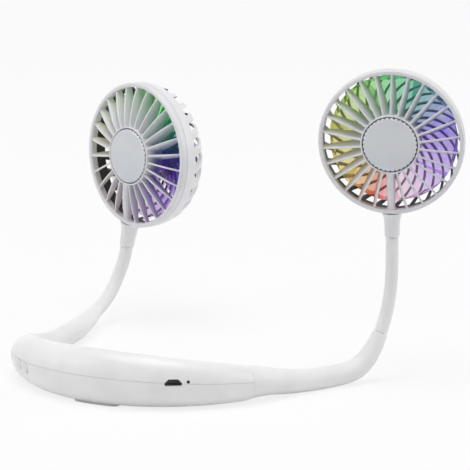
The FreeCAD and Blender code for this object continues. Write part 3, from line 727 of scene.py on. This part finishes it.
class ArmPath:
    """An arm's centreline: a smooth curve through points, with given directions at both ends."""

    def __init__(self, points: list[Vector], start: Vector, end: Vector) -> None:
        """Fits the curve.

        Args:
            points: Points that it passes through, in millimetres.
            start: Its direction at the first point.
            end: Its direction at the last point.
        """
        self.points = points
        self.knots = [0.0]
        for a, b in zip(points, points[1:]):
            self.knots.append(self.knots[-1] + (b - a).length)
        self.slopes = self.solve(start, end)
        self.table = self.measure()

    def solve(self, start: Vector, end: Vector) -> list[Vector]:
        """Directions at the points that keep the bending continuous.

        Args:
            start: Direction at the first point.
            end: Direction at the last point.

        Returns:
            One direction per point.
        """
        p, t, n = self.points, self.knots, len(self.points)
        upper, value = [0.0], [start]
        for i in range(1, n - 1):
            h0, h1 = t[i] - t[i - 1], t[i + 1] - t[i]
            right = (p[i] - p[i - 1]) * (3 * h1 / h0) + (p[i + 1] - p[i]) * (3 * h0 / h1)
            pivot = 2 * (h0 + h1) - h1 * upper[i - 1]
            upper.append(h0 / pivot)
            value.append((right - value[i - 1] * h1) * (1 / pivot))
        slopes = [end]
        for i in range(n - 2, 0, -1):
            slopes.insert(0, value[i] - slopes[0] * upper[i])
        return [start] + slopes

    def at(self, t: float) -> tuple[Vector, Vector]:
        """Point and direction at a chord parameter.

        Args:
            t: Length along the straight chords from point to point.

        Returns:
            The point in millimetres, and the direction there.
        """
        i = max(0, min(len(self.knots) - 2, sum(k <= t for k in self.knots) - 1))
        h = self.knots[i + 1] - self.knots[i]
        x = (t - self.knots[i]) / h
        a, b = self.points[i], self.points[i + 1]
        m, n = self.slopes[i] * h, self.slopes[i + 1] * h
        point = a * (2 * x**3 - 3 * x**2 + 1) + m * (x**3 - 2 * x**2 + x)
        point = point + b * (3 * x**2 - 2 * x**3) + n * (x**3 - x**2)
        way = a * (6 * x**2 - 6 * x) + m * (3 * x**2 - 4 * x + 1)
        way = way + b * (6 * x - 6 * x**2) + n * (3 * x**2 - 2 * x)
        return point, way.normalized()

    def measure(self, steps: int = 400) -> list[tuple[float, float]]:
        """Walks along the curve.

        Args:
            steps: Straight pieces that the walk is made of.

        Returns:
            Pairs of distance along the curve and chord parameter.
        """
        total, table, last = 0.0, [(0.0, 0.0)], self.points[0]
        for i in range(1, steps + 1):
            t = self.knots[-1] * i / steps
            here = self.at(t)[0]
            total += (here - last).length
            table.append((total, t))
            last = here
        return table

    @property
    def length(self) -> float:
        """Distance from end to end along the curve."""
        return self.table[-1][0]

    def place(self, distance: float) -> tuple[Vector, Vector]:
        """Point and direction at a distance along the curve."""
        return self.at(between(self.table, distance))

    def rings(self, stops: Table, segments: int = 56) -> list[list[Vector]]:
        """Circles square to the curve.

        Args:
            stops: Distances along the curve with the radius there.
            segments: Points in each circle.

        Returns:
            The circles' points, without twist from one to the next.
        """
        made = []
        side = self.place(stops[0][0])[1].orthogonal()
        turns = [2 * math.pi * i / segments for i in range(segments)]
        for distance, radius in stops:
            point, way = self.place(distance)
            side = (side - way * side.dot(way)).normalized()
            other = way.cross(side)
            made.append([point + (side * math.cos(a) + other * math.sin(a)) * radius for a in turns])
        return made


@dataclass
class Head:
    """A fan head's place and the sizes of its moulded pieces, in millimetres from its own centre."""

    side: Side
    radius: float = 42.0
    ring_inner: float = 39.4
    ring_front: float = 1.2
    ring_back: float = -3.0
    ring_eases: tuple[float, float, float] = (0.25, 1.3, 0.9)
    ring_segments: int = 160
    vanes: int = 26
    vane_thickness: float = 1.1
    vane_tilt: float = 17.0
    vane_front: Table = ((16.4, 6.0), (24.0, 5.0), (32.0, 3.2), (39.9, 0.5))
    vane_back: float = -2.7
    vane_foot: Table = ((-0.9, 0.2), (-0.6, 0.0), (0.6, 0.0), (0.9, 0.2))
    vane_overlap: tuple[float, float] = (0.4, 0.8)
    vane_flare: float = 0.7
    flare_reach: float = 1.6
    vane_steps: int = 22
    stem_width: float = 4.6
    cup_radius: float = 17.0
    cup_inner: float = 16.1
    cup_front: float = 6.6
    cup_back: float = -5.0
    cup_floor: float = -3.5
    cup_eases: tuple[float, float, float] = (0.4, 0.35, 0.25)
    cup_segments: int = 120
    shaft_hole: float = 2.5
    disc_dome: Table = ((4.0, 7.44), (8.0, 7.4), (11.5, 7.31), (13.5, 7.2), (14.6, 7.08), (15.03, 6.98))
    disc_rim: tuple[tuple[float, float, float], ...] = (
        (15.35, 6.8, 0.3), (15.65, 6.45, 0.55), (15.65, 5.4, 0.55))
    disc_spigot: Table = ((3.0, 5.4), (3.0, 4.4))
    disc_crisp: float = 50.0
    disc_teeth: int = 36
    tooth_steps: int = 8
    notch_steps: int = 3
    hub_radius: float = 11.5
    hub_inner: float = 10.3
    hub_front: float = -8.3
    hub_roof: float = -9.9
    hub_back: float = -16.0
    boss_radius: float = 2.6
    boss_back: float = -15.4
    bore: float = 1.02
    hub_eases: tuple[float, float, float, float] = (0.3, 1.2, 0.2, 0.4)
    hub_segments: int = 96
    blades: int = 7
    blade_root: float = 11.0
    blade_tip: float = 36.8
    blade_turn: float = 58.0
    blade_skew: float = 14.0
    blade_low: float = -14.8
    blade_rise: float = 5.6
    blade_thickness: float = 0.9
    blade_edge: float = 0.25
    blade_bluntness: int = 8
    blade_steps: tuple[int, int] = (12, 18)
    place: Matrix = field(init=False)

    def __post_init__(self) -> None:
        """Reads the head's place from the frame's joints."""
        spin = joint(self.side.named("fan_spin"))
        front = Vector(spin["axis"]).normalized()
        up = Vector(joint(self.side.named("head_turn"))["axis"]).normalized()
        self.place = frame_of(up.cross(front), up, front, Vector(spin["pos_m"]))

    def build(self) -> None:
        """Makes and dresses every piece of the head."""
        body = self.side.named("head")
        ride(self.grille(), body, Slot.GRILLE, self.side.named("front_grille"))
        ride(self.disc(), body, Slot.CAP, self.side.named("hub_disc"))
        ride(self.impeller(), self.side.named("rotor"), Slot.BLADE, self.side.named("impeller"))
        # Painted shade: the bowl's white is a greyer copy of the band's white, and its inner faces are painted
        # near black
        bowl = PaintedShadeBowl(self.side.named("bowl_moulding"), srgb(233, 233, 235), srgb(227, 227, 230),
                          SHELL.gloss, SHELL.grain, SHELL.relief, coat=SHELL.coat,
                          centre=tuple(self.place.translation), front=tuple(self.place.col[2][:3]))
        dress_node(self.side.named("rear_shell"), bowl)

    def vane_section(self, radius: float, thickness: float, tilt: float) -> list[Vector]:
        """One cross-section of a vane: a thin plate with a round front edge.

        Args:
            radius: Distance of the section from the head's axis.
            thickness: The plate's thickness.
            tilt: Its lean in degrees, clockwise towards the back.

        Returns:
            The section's points in order, for a vane along the head's own right.
        """
        front = between(self.vane_front, radius)
        from_end = max(0.0, min(radius - self.cup_radius, self.ring_inner - radius))
        half = thickness / 2 * (1.0 + self.vane_flare * max(0.0, 1.0 - from_end / self.flare_reach) ** 2)
        nose = [spoke(a) for a in range(0, 181, 30)]
        outline = [(half * p.x, front - half + half * p.y) for p in nose]
        outline += [(half * share, self.vane_back + rise) for share, rise in self.vane_foot]
        lean = math.tan(math.radians(tilt))
        return [Vector((radius, t - (front - z) * lean, z)) for t, z in outline]

    def grille(self) -> bpy.types.Object:
        """The front ring, guide vanes and motor cup, moulded as one piece.

        Returns:
            The new object.
        """
        mould = Mould()
        back, outer, inner = self.ring_eases
        mould.turned(rounded((
            (self.ring_inner, self.ring_back, 0.0), (self.radius, self.ring_back, back),
            (self.radius, self.ring_front, outer), (self.ring_inner, self.ring_front, inner))),
            self.ring_segments)
        back, outer, inner = self.cup_eases
        mould.turned(rounded((
            (self.cup_radius, self.cup_back, back), (self.cup_radius, self.cup_front, outer),
            (self.cup_inner, self.cup_front, inner), (self.cup_inner, self.cup_floor, 0.0),
            (self.shaft_hole, self.cup_floor, 0.0), (self.shaft_hole, self.cup_back, 0.0))),
            self.cup_segments)
        start = self.cup_inner + self.vane_overlap[0]
        reach = self.ring_inner + self.vane_overlap[1] - start
        for i in range(self.vanes):
            shape = (self.vane_thickness, self.vane_tilt) if i else (self.stem_width, 0.0)
            turn = Matrix.Rotation(math.radians(-90.0 + 360.0 * i / self.vanes), 3, "Z")
            rings = []
            for k in range(self.vane_steps + 1):
                section = self.vane_section(start + reach * k / self.vane_steps, *shape)
                rings.append([turn @ p for p in section])
            mould.sweep(rings)
        # Painted shade: the grille's white is a greyer copy of the band's white, and the lamps' light is painted
        # on its vanes
        finish = GrillePaintedLampLight(self.side.named("lit_grille"), srgb(225, 225, 228), srgb(218, 218, 222),
                           gloss=(0.3, 0.42), grain=1600.0, relief=0.000012, wheel=PAINTED_LIGHT_WHEELS[self.side])
        return mould.piece(self.side.named("grille_moulding"), finish, self.place)

    def notched(self, radius: float, height: float, notch: float) -> list[Vector]:
        """A circle about the head's axis that is let in at each notch of the cap.

        Args:
            radius: The circle's radius.
            height: Its height.
            notch: How far it is let in.

        Returns:
            The circle's points.
        """
        count = self.disc_teeth * self.tooth_steps
        run = []
        for i in range(count):
            inset = notch if i % self.tooth_steps < self.notch_steps else 0.0
            run.append(spoke(360.0 * i / count) * (radius - inset) + UP * height)
        return run

    def disc(self) -> bpy.types.Object:
        """The domed silver cap with its notched rim, on a spigot against the motor.

        Returns:
            The new object.
        """
        mould = Mould()
        dome = [(r, z, 0.0) for r, z in self.disc_dome]
        spigot = [(r, z, 0.0) for r, z in self.disc_spigot]
        mould.sweep(self.notched(*level) for level in (*dome, *self.disc_rim, *spigot))
        return mould.piece(self.side.named("silver_disc"), CAP, self.place, self.disc_crisp)

    def impeller(self) -> bpy.types.Object:
        """The hub and its wide overlapping blades, each a thin curved sheet.

        Returns:
            The new object.
        """
        mould = Mould()
        rim, nose, foot, fillet = self.hub_eases
        mould.turned(rounded((
            (self.hub_radius, self.hub_back, rim), (self.hub_radius, self.hub_front, nose),
            (self.bore, self.hub_front, 0.0), (self.bore, self.boss_back, 0.0),
            (self.boss_radius, self.boss_back, foot), (self.boss_radius, self.hub_roof, fillet),
            (self.hub_inner, self.hub_roof, fillet), (self.hub_inner, self.hub_back, rim))),
            self.hub_segments)
        for i in range(self.blades):
            mould.sweep(self.blade_rings(360.0 * i / self.blades))
        # Painted lamp light: the lamps' colours laid on the clear blades, with a painted glow
        finish = BladesPaintedLampLight(self.side.named("lit_blades"), WHITE, srgb(244, 244, 246), gloss=(0.1, 0.16),
                           grain=900.0, relief=0.00001, wheel=PAINTED_LIGHT_WHEELS[self.side])
        return mould.piece(self.side.named("lit_impeller"), finish, self.place)

    def blade_rings(self, turn: float) -> list[list[Vector]]:
        """Cross-sections of one blade from its root to its tip.

        Args:
            turn: The blade's place round the hub in degrees.

        Returns:
            Closed sections along arcs about the hub.
        """
        steps, chord = self.blade_steps
        thick = self.blade_thickness / 2
        rings = []
        for k in range(steps + 1):
            share = k / steps
            radius = self.blade_root + (self.blade_tip - self.blade_root) * share
            upper, lower = [], []
            for j in range(chord + 1):
                u = j / chord
                angle = math.radians(turn + self.blade_turn * u + self.blade_skew * share)
                middle = self.blade_low + self.blade_rise * u + thick
                half = thick * max(self.blade_edge, 1 - (2 * u - 1) ** self.blade_bluntness)
                x, y = radius * math.cos(angle), radius * math.sin(angle)
                upper.append(Vector((x, y, middle + half)))
                lower.append(Vector((x, y, middle - half)))
            rings.append(upper + lower[::-1])
        return rings


@dataclass
class Arm:
    """One bendable arm, in millimetres along it: a thick soft sleeve that runs into a thin tube."""

    side: Side
    sleeve_end: float = 103.0
    sleeve_radii: Table = (
        (0, 9.95), (18, 7.75), (39, 6.6), (62, 6.2), (80, 6.1), (92, 5.2), (103, 4.2))
    tube_radii: Table = ((103, 3.95), (114, 3.65), (200, 3.65))
    ease_shifts: tuple[float, ...] = (-5.0, -2.5, 0.0, 2.5, 5.0)
    root_end: float = 40.0
    gap: float = 0.25
    lip: float = 0.7
    lip_angles: tuple[float, ...] = (0.0, 20.0, 40.0, 60.0, 75.0, 90.0)
    step: float = 1.4
    spread_bend: tuple[float, float] = (3.0, 28.0)
    knee_bend: tuple[float, float] = (54.0, 86.0)
    tilt_bend: tuple[float, float] = (118.0, 146.0)
    straight_top: float = 6.0
    seam: Vector = field(default_factory=lambda: Vector((71.326, -33.260, -3.15)))
    start_angle: float = 65.0
    right_reach: Table = (
        (30.0, -6.7), (62.0, -7.95), (79.0, -4.9), (90.0, 6.0), (97.0, 20.5), (101.3, 40.0))
    left_points: tuple[tuple[float, float, float], ...] = (
        (-76.6, -9.8, -5.6), (-81.0, 22.0, -7.2), (-86.4, 54.0, -6.5), (-90.1, 72.1, -4.3),
        (-91.4, 86.9, 0.4), (-90.8, 97.3, 10.3))
    path: ArmPath = field(init=False)

    def __post_init__(self) -> None:
        """Lays the centreline from the band's seam to the head's stub."""
        turn = joint(self.side.named("head_turn"))
        top, up = Vector(turn["pos_m"]) / MM, Vector(turn["axis"]).normalized()
        start, way = self.seam, spoke(self.start_angle)
        if self.side is Side.RIGHT:
            run = [start + way * t + UP * (z - start.z) for t, z in self.right_reach]
        else:
            mirror = Matrix.Diagonal((-1.0, 1.0, 1.0))
            start, way = mirror @ start, mirror @ way
            run = [Vector(p) for p in self.left_points]
        self.path = ArmPath([start, *run, top - up * self.straight_top, top], way, up)

    def radius(self, s: float, thin: bool) -> float:
        """The sleeve's or the thin tube's radius at a distance, its table's corners rounded off."""
        table = self.tube_radii if thin else self.sleeve_radii
        return sum(between(table, s + shift) for shift in self.ease_shifts) / len(self.ease_shifts)

    def inset(self, depth: float) -> float:
        """How far a rim's round edge lies within the full radius, at a depth from the rim's end."""
        return self.lip - math.sqrt(max(0.0, self.lip**2 - max(0.0, self.lip - depth) ** 2))

    def stops(self, start: float, end: float, thin: bool,
              lips: tuple[bool, bool]) -> list[tuple[float, float]]:
        """Distances along a stretch and the radius at each, with eased rims.

        Args:
            start: Where the stretch starts.
            end: Where it ends.
            thin: Whether it is the thin tube.
            lips: Whether its start and its end have an eased rim.

        Returns:
            Pairs of distance and radius.
        """
        rim = [self.lip * (1 - math.cos(math.radians(a))) for a in self.lip_angles]
        places = [start + d for d in rim] if lips[0] else [start]
        body_start, body_end = places[-1], end - (self.lip if lips[1] else 0.0)
        count = max(2, round((body_end - body_start) / self.step))
        places += [body_start + (body_end - body_start) * i / count for i in range(1, count + 1)]
        if lips[1]:
            places += [end - d for d in reversed(rim[:-1])]
        made = []
        for s in places:
            depths = [d for d, eased in zip((s - start, end - s), lips) if eased]
            made.append((s, self.radius(s, thin) - sum(self.inset(d) for d in depths)))
        return made

    def stretch(self, name: str, span: tuple[float, float], bodies: tuple[str, str],
                bend: tuple[float, float], nodes: Sequence[str], thin: bool = False,
                lips: tuple[bool, bool] = (False, False)) -> None:
        """Makes one smooth stretch of the arm and hides the nodes that it stands for.

        Args:
            name: The piece's name.
            span: Where it starts and ends along the arm.
            bodies: The bodies before and after the joint.
            bend: Where the bending starts and ends along the arm.
            nodes: The nodes that it stands for.
            thin: Whether it is the thin tube.
            lips: Whether its start and its end have an eased rim.
        """
        mould = Mould()
        mould.sweep(self.path.rings(self.stops(*span, thin, lips)))
        piece = mould.piece(self.side.named(name), SLEEVE)
        start, end = (self.path.place(s)[0] * MM for s in bend)
        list(bodies)
        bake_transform(piece)
        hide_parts(*[self.side.named(n) for n in nodes])
        LOG.info("piece %s bends between %s and %s", piece.name, *bodies)

    def build(self) -> None:
        """Makes the three smooth stretches."""
        lower, mid, upper = (self.side.named(n) for n in ("lower_arm", "mid_arm", "upper_arm"))
        self.stretch("sleeve_root", (self.gap, self.root_end), ("band", lower), self.spread_bend,
                     ["sleeve_base"], lips=(True, False))
        self.stretch("sleeve", (self.root_end, self.sleeve_end), (lower, mid), self.knee_bend,
                     ["sleeve_lower", "sleeve_knee"], lips=(False, True))
        self.stretch("thin_tube", (self.sleeve_end + self.gap, self.path.length - self.gap), (mid, upper),
                     self.tilt_bend, ["tube_lower", "tube_upper"], thin=True, lips=(True, True))


@dataclass
class Band:
    """The small pieces on the band's outside, in millimetres: the port's gasket and the marks on its keys."""

    gasket_outer: tuple[float, float, float] = (9.9, 3.7, 2.15)
    gasket_inner: tuple[float, float, float] = (7.5, 2.6, 1.3)
    gasket_corner: float = 0.55
    gasket_depth: tuple[float, float] = (-2.6, 0.35)
    gasket_round: float = 0.2
    outer_lip: tuple[float, float] = (0.98, 0.94)
    inner_lip: tuple[float, float] = (1.03, 1.08)
    mark_width: float = 0.3
    mark_taper: float = 0.7
    mark_rise: float = 0.08
    mark_sink: float = 0.1
    bar_ends: Table = ((0.0, 0.4), (0.12, 0.9), (0.5, 1.0), (0.88, 0.9), (1.0, 0.4))
    power_radius: float = 1.05
    power_arc: tuple[float, float] = (120.0, 420.0)
    power_bar: tuple[float, float] = (0.25, 1.45)
    lamp_radius: float = 0.55
    lamp_arc: tuple[float, float] = (0.0, 359.0)
    rays: int = 8
    ray: tuple[float, float] = (0.95, 1.5)

    def build(self) -> None:
        """Makes the gasket and the key marks."""
        ride(self.gasket(), "band", Slot.BLACK)
        ride(self.power_mark(), "fan_key", Slot.KEY)
        ride(self.lamp_mark(), "light_key", Slot.KEY)

    def plug_outline(self, width: float, height: float, slant: float) -> list[tuple[float, float]]:
        """A small plug's outline, with both upper corners slanting.

        Args:
            width: Its full width.
            height: Its full height.
            slant: How much of each side the slanting corners take.

        Returns:
            The outline's points in order.
        """
        x, y = width / 2, height / 2
        corners = ((-x, -y), (x, -y), (x, y - slant), (x - slant, y), (slant - x, y), (-x, y - slant))
        return rounded([(*corner, self.gasket_corner) for corner in corners])

    def gasket(self) -> bpy.types.Object:
        """The black lining between the charging socket and the rim of its cut-out.

        Returns:
            The new object.
        """
        place = face_frame("usb_socket", Vector(mount("charging_port")["axis"]).normalized())
        back, front = self.gasket_depth
        edge, plain = front - self.gasket_round, (1.0, 1.0)
        outer, inner = self.plug_outline(*self.gasket_outer), self.plug_outline(*self.gasket_inner)
        levels = ((outer, plain, back), (outer, plain, edge), (outer, self.outer_lip, front),
                  (inner, self.inner_lip, front), (inner, plain, edge), (inner, plain, back))
        mould = Mould()
        mould.sweep(([Vector((x * wide, y * tall, z)) for x, y in run] for run, (wide, tall), z in levels),
                    closed=True)
        return mould.piece("port_gasket", BLACK, place)

    def section(self, point: Vector, side: Vector, share: float = 1.0) -> list[Vector]:
        """One cross-section of a raised line on a face.

        Args:
            point: The line's middle.
            side: The direction across it.
            share: The share of the full width that it has there.

        Returns:
            The four corners in order.
        """
        foot = side * (self.mark_width / 2 * share)
        top = foot * self.mark_taper
        sunk, high = point - UP * self.mark_sink, point + UP * self.mark_rise
        return [sunk + foot, sunk - foot, high - top, high + top]

    def bar(self, mould: Mould, way: Vector, reach: tuple[float, float]) -> None:
        """Adds a raised bar on a face, along a direction from its centre.

        Args:
            mould: The mesh to add to.
            way: The direction.
            reach: Where the bar starts and ends.
        """
        side = UP.cross(way)
        start, end = (way * r for r in reach)
        mould.sweep(self.section(start.lerp(end, share), side, width) for share, width in self.bar_ends)

    def arc(self, mould: Mould, radius: float, angles: tuple[float, float], steps: int = 28) -> None:
        """Adds a raised arc on a face, about its centre.

        Args:
            mould: The mesh to add to.
            radius: The arc's radius.
            angles: Where it starts and ends, in degrees.
            steps: Straight pieces in it.
        """
        start, end = angles
        ways = [spoke(start + (end - start) * i / steps) for i in range(steps + 1)]
        mould.sweep(self.section(way * radius, way) for way in ways)

    @staticmethod
    def marked(mould: Mould, name: str, key: str) -> bpy.types.Object:
        """Sets a mark on a key's front face, which looks against the way that the key is pressed."""
        out = -Vector(joint(key + "_press")["axis"]).normalized()
        return mould.piece(name, MARK, face_frame(key, out))

    def power_mark(self) -> bpy.types.Object:
        """A plain switch sign: an open ring with a bar in its gap.

        Returns:
            The new object.
        """
        mould = Mould()
        self.arc(mould, self.power_radius, self.power_arc)
        self.bar(mould, spoke(90.0), self.power_bar)
        return self.marked(mould, "power_mark", "fan_button")

    def lamp_mark(self) -> bpy.types.Object:
        """A plain lamp sign: a ring with short rays.

        Returns:
            The new object.
        """
        mould = Mould()
        self.arc(mould, self.lamp_radius, self.lamp_arc)
        for i in range(self.rays):
            self.bar(mould, spoke(360.0 * i / self.rays), self.ray)
        return self.marked(mould, "lamp_mark", "light_button")


@dataclass(frozen=True)
class Lamp:
    """A square soft lamp that looks at the object, in metres and watts."""

    name: str
    spot: tuple[float, float, float]
    size: float
    power: float

    def build(self) -> None:
        """Sets the lamp up, out of the camera's sight."""
        light = bpy.data.lights.new(self.name, "AREA")
        light.shape = "SQUARE"
        light.size = self.size
        light.energy = self.power
        made = shown(self.name, light)
        made.location = self.spot
        aim = (CAD_BOX[0] + CAD_BOX[1]) / 2
        made.rotation_euler = (aim - Vector(self.spot)).to_track_quat("-Z", "Y").to_euler()
        made.visible_camera = False


@dataclass
class Studio:
    """A plain pale floor, soft light and the photograph's camera."""

    floor_size: float = 14.0
    floor_shade: float = 0.9
    floor_roughness: float = 0.9
    floor_gloss: float = 0.1
    floor_glow: float = 0.78
    world_light: float = 0.4
    lamps: tuple[Lamp, ...] = (
        Lamp("top_light", (-0.1, -0.2, 2.3), 1.6, 29.0), Lamp("left_light", (-1.5, -1.5, 1.1), 1.2, 9.0),
        Lamp("right_light", (1.8, 1.0, 1.0), 1.1, 11.0))
    azimuth: float = 30.5
    elevation: float = 13.71
    distance: float = 10000.0
    pixels_per_mm: float = 1.75
    frame_pixels: float = 470.0
    anchor_pixel: tuple[float, float] = (166.61, 373.99)
    sensor: float = 36.0
    view_end: float = 100.0

    def build(self) -> None:
        """Sets up the whole stage."""
        ground = CAD_BOX[0].z
        self.floor(ground)
        self.world()
        for lamp in self.lamps:
            lamp.build()
        self.camera(ground / MM)
        bpy.context.scene.view_settings.view_transform = "Standard"

    def floor(self, height: float) -> None:
        """A wide pale floor that keeps the object's shadow.

        Args:
            height: The floor's height in metres.
        """
        half = self.floor_size / 2
        mesh = bpy.data.meshes.new("floor")
        corners = [(x * half, y * half, height) for x, y in ((-1, -1), (1, -1), (1, 1), (-1, 1))]
        mesh.from_pydata(corners, [], [(0, 1, 2, 3)])
        material = bpy.data.materials.new("pale_floor")
        graph = Graph(material)
        shade = (self.floor_shade, self.floor_shade, self.floor_shade, 1.0)
        graph.put(graph.shader, {
            "Base Color": shade, "Roughness": self.floor_roughness, "Specular IOR Level": self.floor_gloss})
        glow = graph.node("Emission", {"Color": (1.0, 1.0, 1.0, 1.0)})
        graph.blend(graph.math("MULTIPLY", graph.background_rays(), self.floor_glow), graph.shader, glow)
        mesh.materials.append(material)
        shown("floor", mesh)

    def world(self) -> None:
        """Even light all round, and a white background."""
        world = bpy.data.worlds.new("studio")
        bpy.context.scene.world = world
        graph = Graph(world)
        around = graph.first("BACKGROUND")
        graph.put(around, {"Color": (1.0, 1.0, 1.0, 1.0), "Strength": self.world_light})
        white = graph.node("Background", {"Color": (1.0, 1.0, 1.0, 1.0), "Strength": 1.0})
        graph.blend(graph.background_rays(), around, white)

    def camera(self, floor: float) -> None:
        """The photograph's view, square and from far off.

        Args:
            floor: The floor's height in millimetres.
        """
        a, e = math.radians(self.azimuth), math.radians(self.elevation)
        back = Vector((math.sin(a) * math.cos(e), -math.cos(a) * math.cos(e), math.sin(e)))
        right = Vector((math.cos(a), math.sin(a), 0.0))
        up = back.cross(right)
        middle = self.frame_pixels / 2
        x = (middle - self.anchor_pixel[0]) / self.pixels_per_mm
        y = (self.anchor_pixel[1] - middle) / self.pixels_per_mm
        aim = UP * floor + right * x + up * y
        data = bpy.data.cameras.new("photo_camera")
        data.sensor_width = self.sensor
        data.lens = self.sensor * self.pixels_per_mm * self.distance / self.frame_pixels
        data.clip_end = self.view_end
        made = shown("photo_camera", data)
        made.location = (aim + back * self.distance) * MM
        made.rotation_euler = (-back).to_track_quat("-Z", "Y").to_euler()
        bpy.context.scene.camera = made


def dress_construction() -> None:
    """Gives the construction's own nodes their surfaces."""
    for name in sorted(frame["nodes"]):
        for finish, endings in NODE_FINISHES:
            if name.endswith(endings):
                dress_node(name, finish)


def main() -> None:
    """Builds every sub-assembly in order."""
    logging.basicConfig(level=logging.INFO, format="%(message)s")
    Studio().build()
    dress_construction()
    Band().build()
    for side in Side:
        Arm(side).build()
        Head(side).build()


if __name__ == "__main__":
    main()
